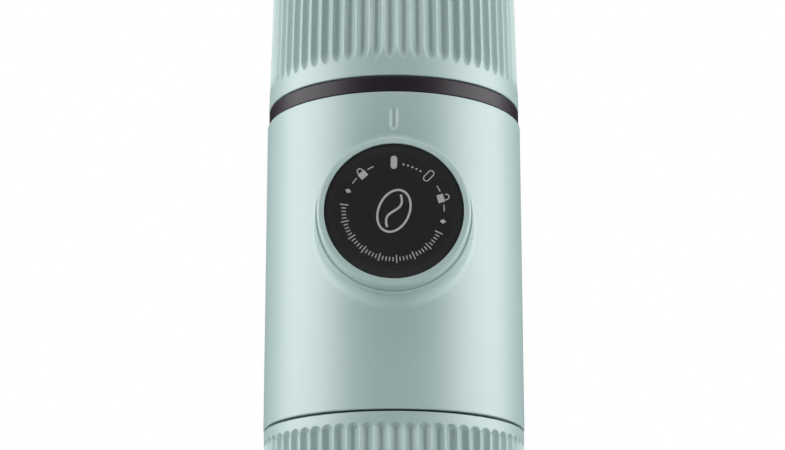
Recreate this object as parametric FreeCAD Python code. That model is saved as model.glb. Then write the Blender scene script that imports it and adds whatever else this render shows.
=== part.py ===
import FreeCAD, Part
import math
import os

from FreeCAD import Vector

# Handheld manual espresso maker. Millimetres, +Z up, front towards -Y.
# The origin is the centre of the pad under the cup, which is what the maker stands on.
# Top to bottom it is a water tank, a black collar, the main body with its pump knob, and a cup
# that covers the outlet head.

os.makedirs("parts", exist_ok=True)

UP = Vector(0, 0, 1)
ORIGIN = Vector(0, 0, 0)

# ---------------------------------------------------------------- outside sizes
CUP_HEIGHT = 33.0          # from where it stands to the seam under the main body
COLLAR_HEIGHT = 4.2        # black ring that shows between body and tank
TANK_HEIGHT = 43.8         # tank shell
BODY_RADIUS = 31.0
BODY_WALL = 2.0
COLLAR_INSET = 0.35        # the ring stands back from the body by this
TANK_INSET = 0.25          # and the tank's lower edge by this
CUP_INSET = 0.1
TANK_TAPER = 1.3           # degrees, each side
CUP_TAPER = 0.86
TANK_WALL = 2.25           # at the lower edge, over the crests of the ribs
CUP_WALL = 1.8
TANK_ROOF = 3.0
CUP_FLOOR = 3.0
TANK_EDGE = 4.0            # rounding of the tank's top edge
CUP_EDGE = 2.4             # rounding of the cup's foot
PAD_HALF = 17.0            # half the side of the square non-slip pad under the cup
PAD_PROUD = 0.5            # it stands out of the cup's underside by this
PAD_POCKET = 0.8           # and sits this deep in it
EDGE = 0.3                 # small rounding of moulded edges

# ---------------------------------------------------------------- clearances
SEAM = 0.3                 # between cup and body
SHADOW_LINE = 0.25         # at each edge of the collar ring
FIT = 0.05                 # between pieces seated in each other
RUN = 0.08                 # between a shaft and its bore
FREE = 0.3                 # between pieces that only pass each other
LINING = 0.4               # between the shell's inside and the frame in it
SLEEVE_UNDER = 2.0         # between the knob's sleeve and the lower deck
SLEEVE_OVER = 5.6          # between the knob's sleeve and the upper deck

# ---------------------------------------------------------------- flutes
FLUTE_COUNT = 60
FLUTE_RADIUS = 1.6         # of the cutter, across the groove
FLUTE_DEPTH = 0.55
TANK_BAND = 4.1            # smooth band at the tank's lower edge
TANK_TOP_BAND = 7.0
TANK_FLUTE_TURN = 4.27     # degrees from the front to the nearest groove
CUP_BAND = 2.1
CUP_FOOT_BAND = 4.0
CUP_FLUTE_TURN = 0.8

# ---------------------------------------------------------------- knob and its boss
KNOB_RADIUS = 17.5
KNOB_STANDOUT = 9.0        # knob's face over the body's front
BOSS_STANDOUT = 4.0        # boss's face over the body's front
BOSS_RIM = 0.7             # width of the boss's face round its bore
BOSS_GAP = 0.4             # round the knob ring
BOSS_BLEND = 2.6
RING_DEPTH = 6.6           # knob ring, front to back
RING_FACE = 1.7            # width of its sloping face
RING_SLOPE = 0.45
RING_NOSE = 0.5            # rounding of its outer edge
DISC_SINK = 0.15           # disc's edge under the ring's inner edge
DISC_THICK = 2.25
DISC_STEP = 0.3            # depth of the disc's middle
DISC_BAND = 2.9            # width of its outer band
MARK_LENGTH = 5.2          # index mark over the knob
MARK_WIDTH = 1.4
MARK_DEPTH = 0.45
MARK_CLEAR = 22.3          # mark's lower end over the knob's axis

# ---------------------------------------------------------------- pump
STROKE = 20.0
KNOB_TURN = 44.0           # degrees from locked to unlocked
PUMP_BORE = 8.0
PUMP_WALL = 2.5
PISTON_LENGTH = 7.5
PUMP_DEAD = 1.0            # left behind the piston when the knob is in
PUMP_LIP = 1.5
PUMP_FLANGE = 3.0
PUMP_FLANGE_THICK = 2.0
SPRING_SEAT = 8.0          # pump flange behind the sleeve's end
SLEEVE_WALL = 2.2
BUSH_WALL = 0.9
BUSH_LENGTH = 12.0
GUIDE_OVERLAP = 5.0        # sleeve left in the bush when the knob is out
TRACK_DEPTH = 0.8
PIN_COUNT = 3
PIN_HALF = 5.0             # degrees
PIN_LENGTH = 2.0
PIN_SHY = 0.2
WEB_THICK = 2.0
WEB_DEPTH = 4.0            # back of the sleeve's web behind the sleeve's front
ROD_RADIUS = 5.0
ROD_NECK = 3.5
ROD_TIP = 1.5              # rod beyond the web
CLIP_THICK = 0.6
CLIP_GROOVE = 0.8
PUMP_SPRING_WIRE = 0.7     # radius
PUMP_SPRING_TURNS = 8
COIL_STEPS = 24            # straight steps in a turn of a spring
ORING_RADIUS = 0.9

# ---------------------------------------------------------------- frame and water ways
DECK_THICK = 4.0
FLOOR_THICK = 2.5          # of the collar, under the tank
SPIGOT_DEPTH = 5.5         # collar inside the shell
LOWER_DECK = 2.5
CROSS_PLATE = 4.0
RIB_OFFSET = 20.0
RIB_THICK = 4.0
RIB_REACH = 12.0
BLOCK_HALF = 9.0
BLOCK_DEPTH = 5.0
BLOCK_RISE = 9.0           # valve block over and under the pump's axis
BLOCK_PLAY = 0.8           # its back corners to the shell
TUBE_RADIUS = 2.3
TUBE_BORE = 1.4
TUBE_SOCKET = 3.0
LOWER_SOCKET = 1.0
GALLERY_WIDTH = 3.2
GALLERY_DEPTH = 1.3
PORT_RADIUS = 3.0
FILTER_RADIUS = 6.0
FILTER_THICK = 0.6

# ---------------------------------------------------------------- tank joint
NECK_WALL = 2.0
NECK_RISE = 8.0
CATCH_REACH = 1.3
CATCH_THICK = 2.0
CATCH_DROP = 1.0           # catches under the neck's top
CATCH_HALF = 25.0          # degrees
CATCH_COUNT = 3
LUG_THICK = 2.4
LUG_GAP = 0.4
TANK_SEAL_THICK = 2.3
TANK_SEAL_WIDTH = 3.3
RIM_WALL = 1.55
RIM_ROOF = 1.8
RIM_ROOF_WIDTH = 4.3

# ---------------------------------------------------------------- brew chamber, basket and outlet head
BREW_DEPTH = 5.5           # roof of the brew chamber
LOWER_RING_WALL = 2.0      # ring between the shell's lower end and the brew chamber
BREW_TOP = 23.0            # roof's upper face over the body's lower edge
BREW_INSET = 0.4           # lower end of chamber and ring over the body's lower edge
CHAMBER_WALL = 2.4
SCREEN_THICK = 0.8
SCREEN_STEP = 1.9          # rim round the screen's recess
SCREEN_GAP = 0.5           # water space over the screen
SCREEN_HOLE = 0.5
BREW_SEAL_THICK = 2.0
HEAD_WALL = 1.6
HEAD_FLANGE = 2.5
HEAD_FLANGE_GAP = 0.1
HEAD_FLANGE_PLAY = 0.7     # between the flange and the cup
HEAD_LUG_LOW = 3.9         # head lugs over the body's lower edge
HEAD_LUG_REACH = 1.1
BASKET_RADIUS = 17.6
BASKET_PLAY = 1.0          # between the basket and the head's upstand
BASKET_WALL = 0.6
BASKET_RIM_INSET = 0.4     # the rim stands back from the upstand's outside by this
BASKET_DEPTH = 13.7
BASKET_HOLE = 0.35
CONE_OVERHANG = 0.8        # the funnel is this much wider than the upstand
CONE_HEIGHT = 12.4
CONE_WALL = 2.4
SPOUT_RADIUS = 7.5
SPOUT_BORE = 1.6
NOZZLE_RADIUS = 6.0
NOZZLE_LENGTH = 4.0
GRIP_RADIUS = 0.8          # section of the ring that grips the cup
SEAT_THICK = 0.9
VALVE_BORE = 2.6
BALL_RADIUS = 2.0
BALL_SEAT = 1.3
VALVE_SPRING_WIRE = 0.18
VALVE_SPRING_TURNS = 2

# ---------------------------------------------------------------- scoop
SCOOP_PLAY = 0.4           # the scoop fits into the basket to tamp the coffee
SCOOP_WALL = 1.2
SCOOP_HEIGHT = 12.7
SCOOP_SEAT = 0.3

# ---------------------------------------------------------------- screws
SCREW_SHANK = 1.2
SCREW_HEAD = 2.3
SCREW_HEAD_THICK = 1.4
SCREW_LENGTH = 5.0
SCREW_STAND = 2.5          # between the collar screws' heads and the neck
SCREW_PLAY = 0.2           # between the brew screws' heads and the cross plate
PUMP_SCREW_OFFSET = 16.0   # each side of the knob's axis
PUMP_EAR = 3.0             # half height of the ears that take the pump's screws
BLOCK_SCREW_OFFSET = 7.0
BLOCK_SCREW_HEAD = 1.9
BLOCK_SCREW_BITE = 2.6     # length of the block's screws in the pump's end flange
END_FLANGE = 3.0

# ---------------------------------------------------------------- places worked out from the sizes
SHELL_INSIDE = BODY_RADIUS - BODY_WALL
FRAME_RADIUS = SHELL_INSIDE - LINING

# distances out from the maker's axis along the knob's axis
KNOB_FACE = BODY_RADIUS + KNOB_STANDOUT
BOSS_FACE = BODY_RADIUS + BOSS_STANDOUT
RING_BACK = KNOB_FACE - RING_DEPTH
DISC_RADIUS = KNOB_RADIUS - RING_FACE
DISC_FACE = KNOB_FACE - DISC_SINK
SLEEVE_FRONT = DISC_FACE - DISC_THICK
COUNTERBORE_FLOOR = RING_BACK - BOSS_GAP
BORE_RADIUS = KNOB_RADIUS + BOSS_GAP
BOSS_RADIUS = BORE_RADIUS + BOSS_RIM
SLEEVE_RADIUS = BORE_RADIUS - BOSS_GAP - BUSH_WALL - BOSS_GAP
BUSH_INSIDE = SLEEVE_RADIUS + RUN
BUSH_OUTSIDE = BUSH_INSIDE + BUSH_WALL
BUSH_FRONT = COUNTERBORE_FLOOR
BUSH_BACK = BUSH_FRONT - BUSH_LENGTH
SLEEVE_BACK = BUSH_FRONT - GUIDE_OVERLAP - STROKE
WEB_BACK = SLEEVE_FRONT - WEB_DEPTH
WEB_FRONT = WEB_BACK + WEB_THICK
FLANGE_FACE = SLEEVE_BACK - SPRING_SEAT
PLATE_FACE = FLANGE_FACE - PUMP_FLANGE_THICK
PLATE_BACK = PLATE_FACE - CROSS_PLATE
BLOCK_BACK = -math.sqrt((SHELL_INSIDE - BLOCK_PLAY) ** 2 - BLOCK_HALF ** 2)
PUMP_BACK = BLOCK_BACK + BLOCK_DEPTH
PORT_LINE = BLOCK_BACK + BLOCK_DEPTH / 2
PUMP_FRONT = PUMP_BACK + PUMP_DEAD + PISTON_LENGTH + STROKE + PUMP_LIP
PUMP_OUTSIDE = PUMP_BORE + PUMP_WALL
PISTON_BACK = PUMP_BACK + PUMP_DEAD
PISTON_FRONT = PISTON_BACK + PISTON_LENGTH
PISTON_RADIUS = PUMP_BORE - RUN
PIN_FRONT = BUSH_FRONT - BOSS_GAP
PIN_BACK = PIN_FRONT - PIN_LENGTH
TRACK_FLOOR = SLEEVE_RADIUS - TRACK_DEPTH

# heights: the brew chamber, the knob's sleeve and the two decks stack up to the body's height
BODY_LOW = CUP_HEIGHT
BREW_ROOF_TOP = BODY_LOW + BREW_TOP
BREW_ROOF_LOW = BREW_ROOF_TOP - BREW_DEPTH
LOWER_DECK_TOP = BREW_ROOF_TOP + LOWER_DECK
KNOB_Z = LOWER_DECK_TOP + SLEEVE_UNDER + SLEEVE_RADIUS
DECK_LOW = KNOB_Z + SLEEVE_RADIUS + SLEEVE_OVER
COLLAR_FLOOR_LOW = DECK_LOW + DECK_THICK
COLLAR_FLOOR_TOP = COLLAR_FLOOR_LOW + FLOOR_THICK
BODY_TOP = COLLAR_FLOOR_LOW + SPIGOT_DEPTH
TANK_LOW = BODY_TOP + COLLAR_HEIGHT
TANK_TOP = TANK_LOW + TANK_HEIGHT
COLLAR_TOP = TANK_LOW - SHADOW_LINE
NECK_TOP = COLLAR_TOP + NECK_RISE
CATCH_TOP = NECK_TOP - CATCH_DROP
CATCH_LOW = CATCH_TOP - CATCH_THICK
RIM_ROOF_LOW = NECK_TOP + TANK_SEAL_THICK + FREE
RIM_TOP = RIM_ROOF_LOW + RIM_ROOF
RIM_OUTSIDE = BODY_RADIUS - TANK_INSET - TANK_WALL - FIT
RIM_INSIDE = RIM_OUTSIDE - RIM_WALL
NECK_RADIUS = RIM_INSIDE - FREE - CATCH_REACH
SCREW_CIRCLE = NECK_RADIUS - NECK_WALL - SCREW_STAND - SCREW_HEAD
BREW_SCREW_CIRCLE = math.sqrt(2) * (SCREW_HEAD + SCREW_PLAY - PLATE_BACK)
TANK_BORE = RIM_OUTSIDE + FIT
TANK_INSIDE = TANK_BORE - (TANK_TOP - TANK_LOW) * math.tan(math.radians(TANK_TAPER)) + FREE / 2
SCREEN_RADIUS = BASKET_RADIUS - BASKET_WALL
SCREEN_RECESS = SCREEN_RADIUS + FREE
SCOOP_RADIUS = SCREEN_RADIUS - SCOOP_PLAY
SCREEN_LOW = BREW_ROOF_LOW - SCREEN_GAP - SCREEN_THICK
SEAL_SEAT = BREW_ROOF_LOW - SCREEN_STEP
BASKET_RIM_TOP = SEAL_SEAT - BREW_SEAL_THICK - FREE
HEAD_TOP = BASKET_RIM_TOP - BASKET_WALL
HEAD_INSIDE = BASKET_RADIUS + BASKET_PLAY
HEAD_RADIUS = HEAD_INSIDE + HEAD_WALL
BASKET_RIM_RADIUS = HEAD_RADIUS - BASKET_RIM_INSET
CONE_RADIUS = HEAD_RADIUS + CONE_OVERHANG
CHAMBER_RADIUS = HEAD_RADIUS + HEAD_LUG_REACH + FREE
HEAD_FLANGE_TOP = BODY_LOW - HEAD_FLANGE_GAP
HEAD_FLANGE_LOW = HEAD_FLANGE_TOP - HEAD_FLANGE
POCKET_FLOOR = HEAD_TOP - BASKET_DEPTH - FREE
CONE_LOW = HEAD_FLANGE_LOW - CONE_HEIGHT
HEAD_LUG_BOTTOM = BODY_LOW + HEAD_LUG_LOW
VALVE_SEAT_Z = BREW_ROOF_TOP - SEAT_THICK
BALL_Z = VALVE_SEAT_Z - math.sqrt(BALL_RADIUS ** 2 - BALL_SEAT ** 2) - FIT
CUP_TOP = CUP_HEIGHT - SEAM
CUP_RADIUS = BODY_RADIUS - CUP_INSET
HEAD_FLANGE_RADIUS = CUP_RADIUS - CUP_WALL - HEAD_FLANGE_PLAY
GRIP_CIRCLE = CUP_RADIUS - CUP_WALL - FREE - GRIP_RADIUS


# ---------------------------------------------------------------- shapes used by several pieces
def turned(corners):
    """A solid turned about Z from corners given as (radius, height)."""
    points = [Vector(radius, 0, height) for radius, height in corners]
    face = Part.Face(Part.makePolygon(points + points[:1]))
    return face.revolve(ORIGIN, UP, 360)


def rod(radius, low, high):
    """A cylinder on the Z axis."""
    return Part.makeCylinder(radius, high - low, Vector(0, 0, low))


def tube(outside, inside, low, high):
    """A tube on the Z axis, its bore cut past both ends."""
    return rod(outside, low, high).cut(rod(inside, low - 1, high + 1))


def sector(outside, inside, low, high, start, span):
    """Part of a tube, from start degrees over span degrees."""
    wedge = Part.makeCylinder(outside, high - low, Vector(0, 0, low), UP, span)
    wedge = wedge.cut(rod(inside, low - 1, high + 1))
    return spun(wedge, start)


def block(x_low, x_high, y_low, y_high, z_low, z_high):
    """A box from its limits."""
    return Part.makeBox(x_high - x_low, y_high - y_low, z_high - z_low, Vector(x_low, y_low, z_low))


def spun(shape, degrees):
    """A copy turned about the Z axis."""
    copy = shape.copy()
    copy.rotate(ORIGIN, UP, degrees)
    return copy


def moved(shape, x, y, z):
    """A copy shifted by x, y and z."""
    copy = shape.copy()
    copy.translate(Vector(x, y, z))
    return copy


def around(shape, count, start=0.0):
    """Copies spread evenly round the Z axis."""
    return [spun(shape, start + 360.0 * i / count) for i in range(count)]


def on_knob_axis(shape):
    """Stands a shape that was made along Z on the knob's axis, its +Z pointing out of the front."""
    copy = shape.copy()
    copy.rotate(ORIGIN, Vector(1, 0, 0), 90)
    copy.translate(Vector(0, 0, KNOB_Z))
    return copy


def circles(shape, height, radius):
    """The full circles of a shape at one height and radius."""
    found = []
    for edge in shape.Edges:
        if not isinstance(edge.Curve, Part.Circle):
            continue
        same_height = abs(edge.Curve.Center.z - height) < 0.01
        if same_height and abs(edge.Curve.Radius - radius) < 0.01:
            found.append(edge)
    return found


def rounded(shape, radius, height, circle_radius):
    """Rounds the circular edges at one height and radius."""
    return shape.makeFillet(radius, circles(shape, height, circle_radius))


def coil(coil_radius, wire_radius, low, high, turns):
    """A compression spring along Z, its wire's outside between low and high, bent in short steps."""
    rise = high - low - 2 * wire_radius
    count = COIL_STEPS * turns
    points = []
    for i in range(count + 1):
        angle = 2 * math.pi * i / COIL_STEPS
        points.append(Vector(coil_radius * math.cos(angle), coil_radius * math.sin(angle),
                             low + wire_radius + rise * i / count))
    wire = Part.BRepOffsetAPI.MakePipeShell(Part.makePolygon(points))
    wire.setTransitionMode(1)
    wire.add(Part.Wire(Part.makeCircle(wire_radius, points[0], points[1] - points[0])))
    wire.build()
    wire.makeSolid()
    return wire.shape()


def screw(length):
    """A pan head screw that points down, its head's underside at z = 0."""
    head = rod(SCREW_HEAD, 0, SCREW_HEAD_THICK)
    head = rounded(head, SCREW_HEAD_THICK / 2, SCREW_HEAD_THICK, SCREW_HEAD)
    slot_half = SCREW_SHANK / 4
    slot_depth = SCREW_HEAD_THICK / 2
    for x_half, y_half in ((SCREW_SHANK, slot_half), (slot_half, SCREW_SHANK)):
        slot = block(-x_half, x_half, -y_half, y_half, slot_depth, SCREW_HEAD_THICK + 1)
        head = head.cut(slot)
    return head.fuse(rod(SCREW_SHANK, -length, 0)).removeSplitter()


def flute_cutter(low_radius, low, high_radius, high):
    """One groove's cutter: a round-ended bar that lies along a tapered wall at the +X side."""
    stand = FLUTE_RADIUS - FLUTE_DEPTH
    tip = math.sqrt(FLUTE_RADIUS ** 2 - stand ** 2)
    slope = (high_radius - low_radius) / (high - low)
    length = high - low - 2 * tip
    arc_low = Part.Arc(Vector(0, 0, -FLUTE_RADIUS),
                       Vector(FLUTE_RADIUS * math.sqrt(0.5), 0, -FLUTE_RADIUS * math.sqrt(0.5)),
                       Vector(FLUTE_RADIUS, 0, 0)).toShape()
    arc_high = Part.Arc(Vector(FLUTE_RADIUS, 0, length),
                        Vector(FLUTE_RADIUS * math.sqrt(0.5), 0, length + FLUTE_RADIUS * math.sqrt(0.5)),
                        Vector(0, 0, length + FLUTE_RADIUS)).toShape()
    side = Part.makeLine(Vector(FLUTE_RADIUS, 0, 0), Vector(FLUTE_RADIUS, 0, length))
    axis = Part.makeLine(Vector(0, 0, length + FLUTE_RADIUS), Vector(0, 0, -FLUTE_RADIUS))
    bar = Part.Face(Part.Wire([arc_low, side, arc_high, axis])).revolve(ORIGIN, UP, 360)
    bar.rotate(ORIGIN, Vector(0, 1, 0), math.degrees(math.atan(slope)))
    return moved(bar, low_radius + slope * tip + stand, 0, low + tip)


def fluted(shape, low_radius, low, high_radius, high, turn):
    """Cuts the grooves round a tapered wall; turn is from the front (-Y) to the first groove."""
    cutter = flute_cutter(low_radius, low, high_radius, high)
    return shape.cut(around(cutter, FLUTE_COUNT, turn - 90))


# ---------------------------------------------------------------- main body
def body_shell():
    """Plain round shell with the knob's boss blended into its front."""
    shell = rod(BODY_RADIUS, BODY_LOW, BODY_TOP)
    boss = on_knob_axis(rod(BOSS_RADIUS, BODY_RADIUS / 3, BOSS_FACE))
    shell = shell.fuse(boss)
    plain = ("Part::GeomCircle", "Part::GeomLine")
    meeting = [edge for edge in shell.Edges if edge.Curve.TypeId not in plain]
    shell = shell.makeFillet(BOSS_BLEND, meeting)
    rims = [edge for edge in shell.Edges if isinstance(edge.Curve, Part.Circle)]
    rims = [edge for edge in rims if edge.Length > 2 * math.pi * BOSS_RADIUS - 1]
    shell = shell.makeFillet(EDGE, rims)
    shell = shell.cut(rod(SHELL_INSIDE, BODY_LOW - 1, BODY_TOP + 1))
    shell = shell.cut(on_knob_axis(rod(BORE_RADIUS, COUNTERBORE_FLOOR, BOSS_FACE + 1)))
    shell = shell.cut(on_knob_axis(rod(BUSH_OUTSIDE + FIT, 0, BOSS_FACE)))
    return shell.cut(index_mark())


def index_mark():
    """Cutter of the upright groove that the knob's marks line up with."""
    stand = (MARK_WIDTH ** 2 / 4 - MARK_DEPTH ** 2) / (2 * MARK_DEPTH)
    radius = stand + MARK_DEPTH
    low = KNOB_Z + MARK_CLEAR + MARK_WIDTH / 2
    high = low + MARK_LENGTH - MARK_WIDTH
    bar = rod(radius, low, high)
    for z in (low, high):
        bar = bar.fuse(Part.makeSphere(radius, Vector(0, 0, z)))
    return moved(bar.removeSplitter(), 0, -(BODY_RADIUS + stand), 0)


def guide_bush():
    """Bush in the boss that guides the knob's sleeve, with the pins of its turning track."""
    bush = tube(BUSH_OUTSIDE, BUSH_INSIDE, BUSH_BACK, BUSH_FRONT)
    pin = sector(BUSH_INSIDE + BUSH_WALL / 2, TRACK_FLOOR + PIN_SHY, PIN_BACK, PIN_FRONT,
                 -PIN_HALF, 2 * PIN_HALF)
    return on_knob_axis(bush.fuse(around(pin, PIN_COUNT, 90)).removeSplitter())


def collar():
    """Black head piece: the ring that shows, the floor under the tank and the tank's neck."""
    ring_radius = BODY_RADIUS - COLLAR_INSET
    step = ring_radius - COLLAR_INSET
    inside = NECK_RADIUS - NECK_WALL
    piece = turned([(0, COLLAR_FLOOR_LOW), (SHELL_INSIDE - FIT, COLLAR_FLOOR_LOW),
                    (SHELL_INSIDE - FIT, BODY_TOP), (step, BODY_TOP),
                    (step, BODY_TOP + SHADOW_LINE), (ring_radius, BODY_TOP + SHADOW_LINE),
                    (ring_radius, COLLAR_TOP), (NECK_RADIUS, COLLAR_TOP),
                    (NECK_RADIUS, NECK_TOP), (inside, NECK_TOP),
                    (inside, COLLAR_FLOOR_TOP), (0, COLLAR_FLOOR_TOP)])
    piece = rounded(piece, EDGE, COLLAR_TOP, ring_radius)
    catch = sector(NECK_RADIUS + CATCH_REACH, NECK_RADIUS - NECK_WALL / 2, CATCH_LOW, CATCH_TOP,
                   -CATCH_HALF, 2 * CATCH_HALF)
    piece = piece.fuse(around(catch, CATCH_COUNT, 90)).removeSplitter()
    port = rod(PORT_RADIUS, COLLAR_FLOOR_LOW - 1, COLLAR_FLOOR_TOP + 1)
    recess = rod(FILTER_RADIUS + FIT, COLLAR_FLOOR_TOP - FILTER_THICK, COLLAR_FLOOR_TOP + 1)
    hole = moved(rod(SCREW_SHANK + FIT, COLLAR_FLOOR_LOW - 1, COLLAR_FLOOR_TOP + 1), SCREW_CIRCLE, 0, 0)
    return piece.cut([port, recess] + around(hole, 4, 45))


def chassis():
    """Frame between the collar and the brew chamber: two decks, a cross plate and two ribs."""
    deck = rod(FRAME_RADIUS, DECK_LOW, COLLAR_FLOOR_LOW)
    lower = rod(FRAME_RADIUS, BREW_ROOF_TOP, LOWER_DECK_TOP)
    frame = deck.fuse(lower)
    plate = block(-FRAME_RADIUS, FRAME_RADIUS, -PLATE_FACE, -PLATE_BACK, BREW_ROOF_TOP, COLLAR_FLOOR_LOW)
    frame = frame.fuse(plate)
    for side in (-1, 1):
        inner = side * RIB_OFFSET
        outer = side * (RIB_OFFSET + RIB_THICK)
        rib = block(min(inner, outer), max(inner, outer), -PLATE_BACK - 1, -PLATE_BACK + RIB_REACH,
                    BREW_ROOF_TOP, COLLAR_FLOOR_LOW)
        frame = frame.fuse(rib)
    frame = frame.common(rod(FRAME_RADIUS, BREW_ROOF_TOP, COLLAR_FLOOR_LOW)).removeSplitter()
    frame = frame.cut(on_knob_axis(rod(PUMP_OUTSIDE + FIT, PLATE_BACK - 1, PLATE_FACE + 1)))
    half = GALLERY_WIDTH / 2
    ways = [block(-half, half, -half, -PORT_LINE, COLLAR_FLOOR_LOW - GALLERY_DEPTH, COLLAR_FLOOR_LOW + 1),
            block(-half, half, -half, -PORT_LINE, BREW_ROOF_TOP - 1, BREW_ROOF_TOP + GALLERY_DEPTH),
            moved(rod(TUBE_BORE, DECK_LOW - 1, COLLAR_FLOOR_LOW + 1), 0, -PORT_LINE, 0),
            moved(rod(TUBE_RADIUS + FIT, DECK_LOW - 1, DECK_LOW + LOWER_SOCKET), 0, -PORT_LINE, 0),
            moved(rod(TUBE_BORE, BREW_ROOF_TOP - 1, LOWER_DECK_TOP + 1), 0, -PORT_LINE, 0),
            moved(rod(TUBE_RADIUS + FIT, LOWER_DECK_TOP - LOWER_SOCKET, LOWER_DECK_TOP + 1),
                  0, -PORT_LINE, 0)]
    deep = SCREW_LENGTH - FLOOR_THICK + FREE
    pilot = moved(rod(SCREW_SHANK, COLLAR_FLOOR_LOW - deep, COLLAR_FLOOR_LOW + 1), SCREW_CIRCLE, 0, 0)
    brew_hole = moved(rod(SCREW_SHANK + FIT, BREW_ROOF_TOP - 1, LOWER_DECK_TOP + 1),
                      BREW_SCREW_CIRCLE, 0, 0)
    pump_hole = moved(rod(SCREW_SHANK, PLATE_BACK - 1, PLATE_FACE + 1), PUMP_SCREW_OFFSET, 0, 0)
    pump_holes = [on_knob_axis(hole) for hole in around(pump_hole, 2)]
    return frame.cut(ways + around(pilot, 4, 45) + around(brew_hole, 4, 45) + pump_holes)


def pump_cylinder():
    """Barrel of the pump, lying across the body, with the flange that the spring bears on."""
    barrel = rod(PUMP_OUTSIDE, PUMP_BACK, PUMP_FRONT)
    ear = PUMP_SCREW_OFFSET + PUMP_EAR
    barrel = barrel.fuse([rod(PUMP_OUTSIDE + PUMP_FLANGE, PLATE_FACE, FLANGE_FACE),
                          block(-ear, ear, -PUMP_EAR, PUMP_EAR, PLATE_FACE, FLANGE_FACE),
                          block(-BLOCK_HALF, BLOCK_HALF, -BLOCK_RISE, BLOCK_RISE,
                                PUMP_BACK, PUMP_BACK + END_FLANGE)])
    barrel = barrel.removeSplitter().cut(rod(PUMP_BORE, PUMP_BACK - 1, PUMP_FRONT + 1))
    hole = moved(rod(SCREW_SHANK + FIT, PLATE_FACE - 1, FLANGE_FACE + 1), PUMP_SCREW_OFFSET, 0, 0)
    bite = rod(SCREW_SHANK, PUMP_BACK - 1, PUMP_BACK + END_FLANGE + 1)
    corners = [moved(bite, x, y, 0) for x, y in block_screw_places()]
    return on_knob_axis(barrel.cut(around(hole, 2) + corners))


def block_screw_places():
    """The corners of the valve block where its screws pass."""
    offsets = (-BLOCK_SCREW_OFFSET, BLOCK_SCREW_OFFSET)
    return [(x, y) for x in offsets for y in offsets]


def valve_block():
    """Block that closes the pump's back end and joins it to the two water tubes."""
    body = block(-BLOCK_HALF, BLOCK_HALF, -BLOCK_RISE, BLOCK_RISE, BLOCK_BACK, PUMP_BACK)
    body = body.fuse(rod(PUMP_BORE - FIT, PUMP_BACK - 1, PUMP_BACK + PUMP_DEAD / 2)).removeSplitter()
    body = body.cut(rod(TUBE_RADIUS, PORT_LINE, PUMP_BACK + PUMP_DEAD))
    hole = rod(SCREW_SHANK + FIT, BLOCK_BACK - 1, PUMP_BACK + 1)
    hole = hole.fuse(rod(BLOCK_SCREW_HEAD + FIT, BLOCK_BACK - 1, BLOCK_BACK + SCREW_HEAD_THICK))
    body = on_knob_axis(body.cut([moved(hole, x, y, 0) for x, y in block_screw_places()]))
    top = KNOB_Z + BLOCK_RISE
    low = KNOB_Z - BLOCK_RISE
    ways = [moved(rod(TUBE_BORE, low - 1, top + 1), 0, -PORT_LINE, 0),
            moved(rod(TUBE_RADIUS + FIT, top - TUBE_SOCKET, top + 1), 0, -PORT_LINE, 0),
            moved(rod(TUBE_RADIUS + FIT, low - 1, low + TUBE_SOCKET), 0, -PORT_LINE, 0)]
    return body.cut(ways)


def inlet_tube():
    """Water tube from the collar's gallery down to the valve block."""
    low = KNOB_Z + BLOCK_RISE - TUBE_SOCKET + 2 * FREE
    return moved(tube(TUBE_RADIUS, TUBE_BORE, low, DECK_LOW + LOWER_SOCKET), 0, -PORT_LINE, 0)


def outlet_tube():
    """Water tube from the valve block down to the brew chamber's gallery."""
    high = KNOB_Z - BLOCK_RISE + TUBE_SOCKET
    low = LOWER_DECK_TOP - LOWER_SOCKET
    return moved(tube(TUBE_RADIUS, TUBE_BORE, low, high), 0, -PORT_LINE, 0)


def inlet_valve():
    """Duckbill valve under the inlet tube: a flange and a tapered bill."""
    top = KNOB_Z + BLOCK_RISE - TUBE_SOCKET + 2 * FREE
    low = top - 2 * FREE
    bill = TUBE_BORE - 2 * FIT
    piece = turned([(TUBE_BORE / 2, top), (TUBE_RADIUS, top), (TUBE_RADIUS, low), (bill, low),
                    (bill / 2, low - TUBE_SOCKET), (bill / 4, low - TUBE_SOCKET)])
    return moved(piece, 0, -PORT_LINE, 0)


def block_seal():
    """O-ring between the valve block's spigot and the pump's bore."""
    height = PUMP_BACK + PUMP_DEAD / 2 + FIT
    width = PUMP_BORE - FIT
    return on_knob_axis(tube(width, width - ORING_RADIUS, height, height + PUMP_DEAD / 3))


def inlet_filter():
    """Fine strainer in the collar's floor, drilled with rings of holes."""
    low = COLLAR_FLOOR_TOP - FILTER_THICK
    disc = rod(FILTER_RADIUS, low, COLLAR_FLOOR_TOP)
    hole = rod(SCREEN_HOLE, low - 1, COLLAR_FLOOR_TOP + 1)
    holes = [hole] + around(moved(hole, PORT_RADIUS * 0.4, 0, 0), 5)
    holes += around(moved(hole, PORT_RADIUS * 0.8, 0, 0), 10)
    return disc.cut(holes)


def pump_spring():
    """Coil spring round the pump that pushes the knob out once it is unlocked."""
    mean = (PUMP_OUTSIDE + SLEEVE_RADIUS - SLEEVE_WALL) / 2
    return on_knob_axis(coil(mean, PUMP_SPRING_WIRE, FLANGE_FACE + FIT, WEB_BACK - FIT,
                             PUMP_SPRING_TURNS))


def pump_screws():
    """Two screws that hold the pump's ears to the cross plate, either side of the spring."""
    one = moved(screw(PUMP_FLANGE_THICK + CROSS_PLATE / 2), PUMP_SCREW_OFFSET, 0, FLANGE_FACE)
    return Part.makeCompound([on_knob_axis(item) for item in around(one, 2)])


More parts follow.
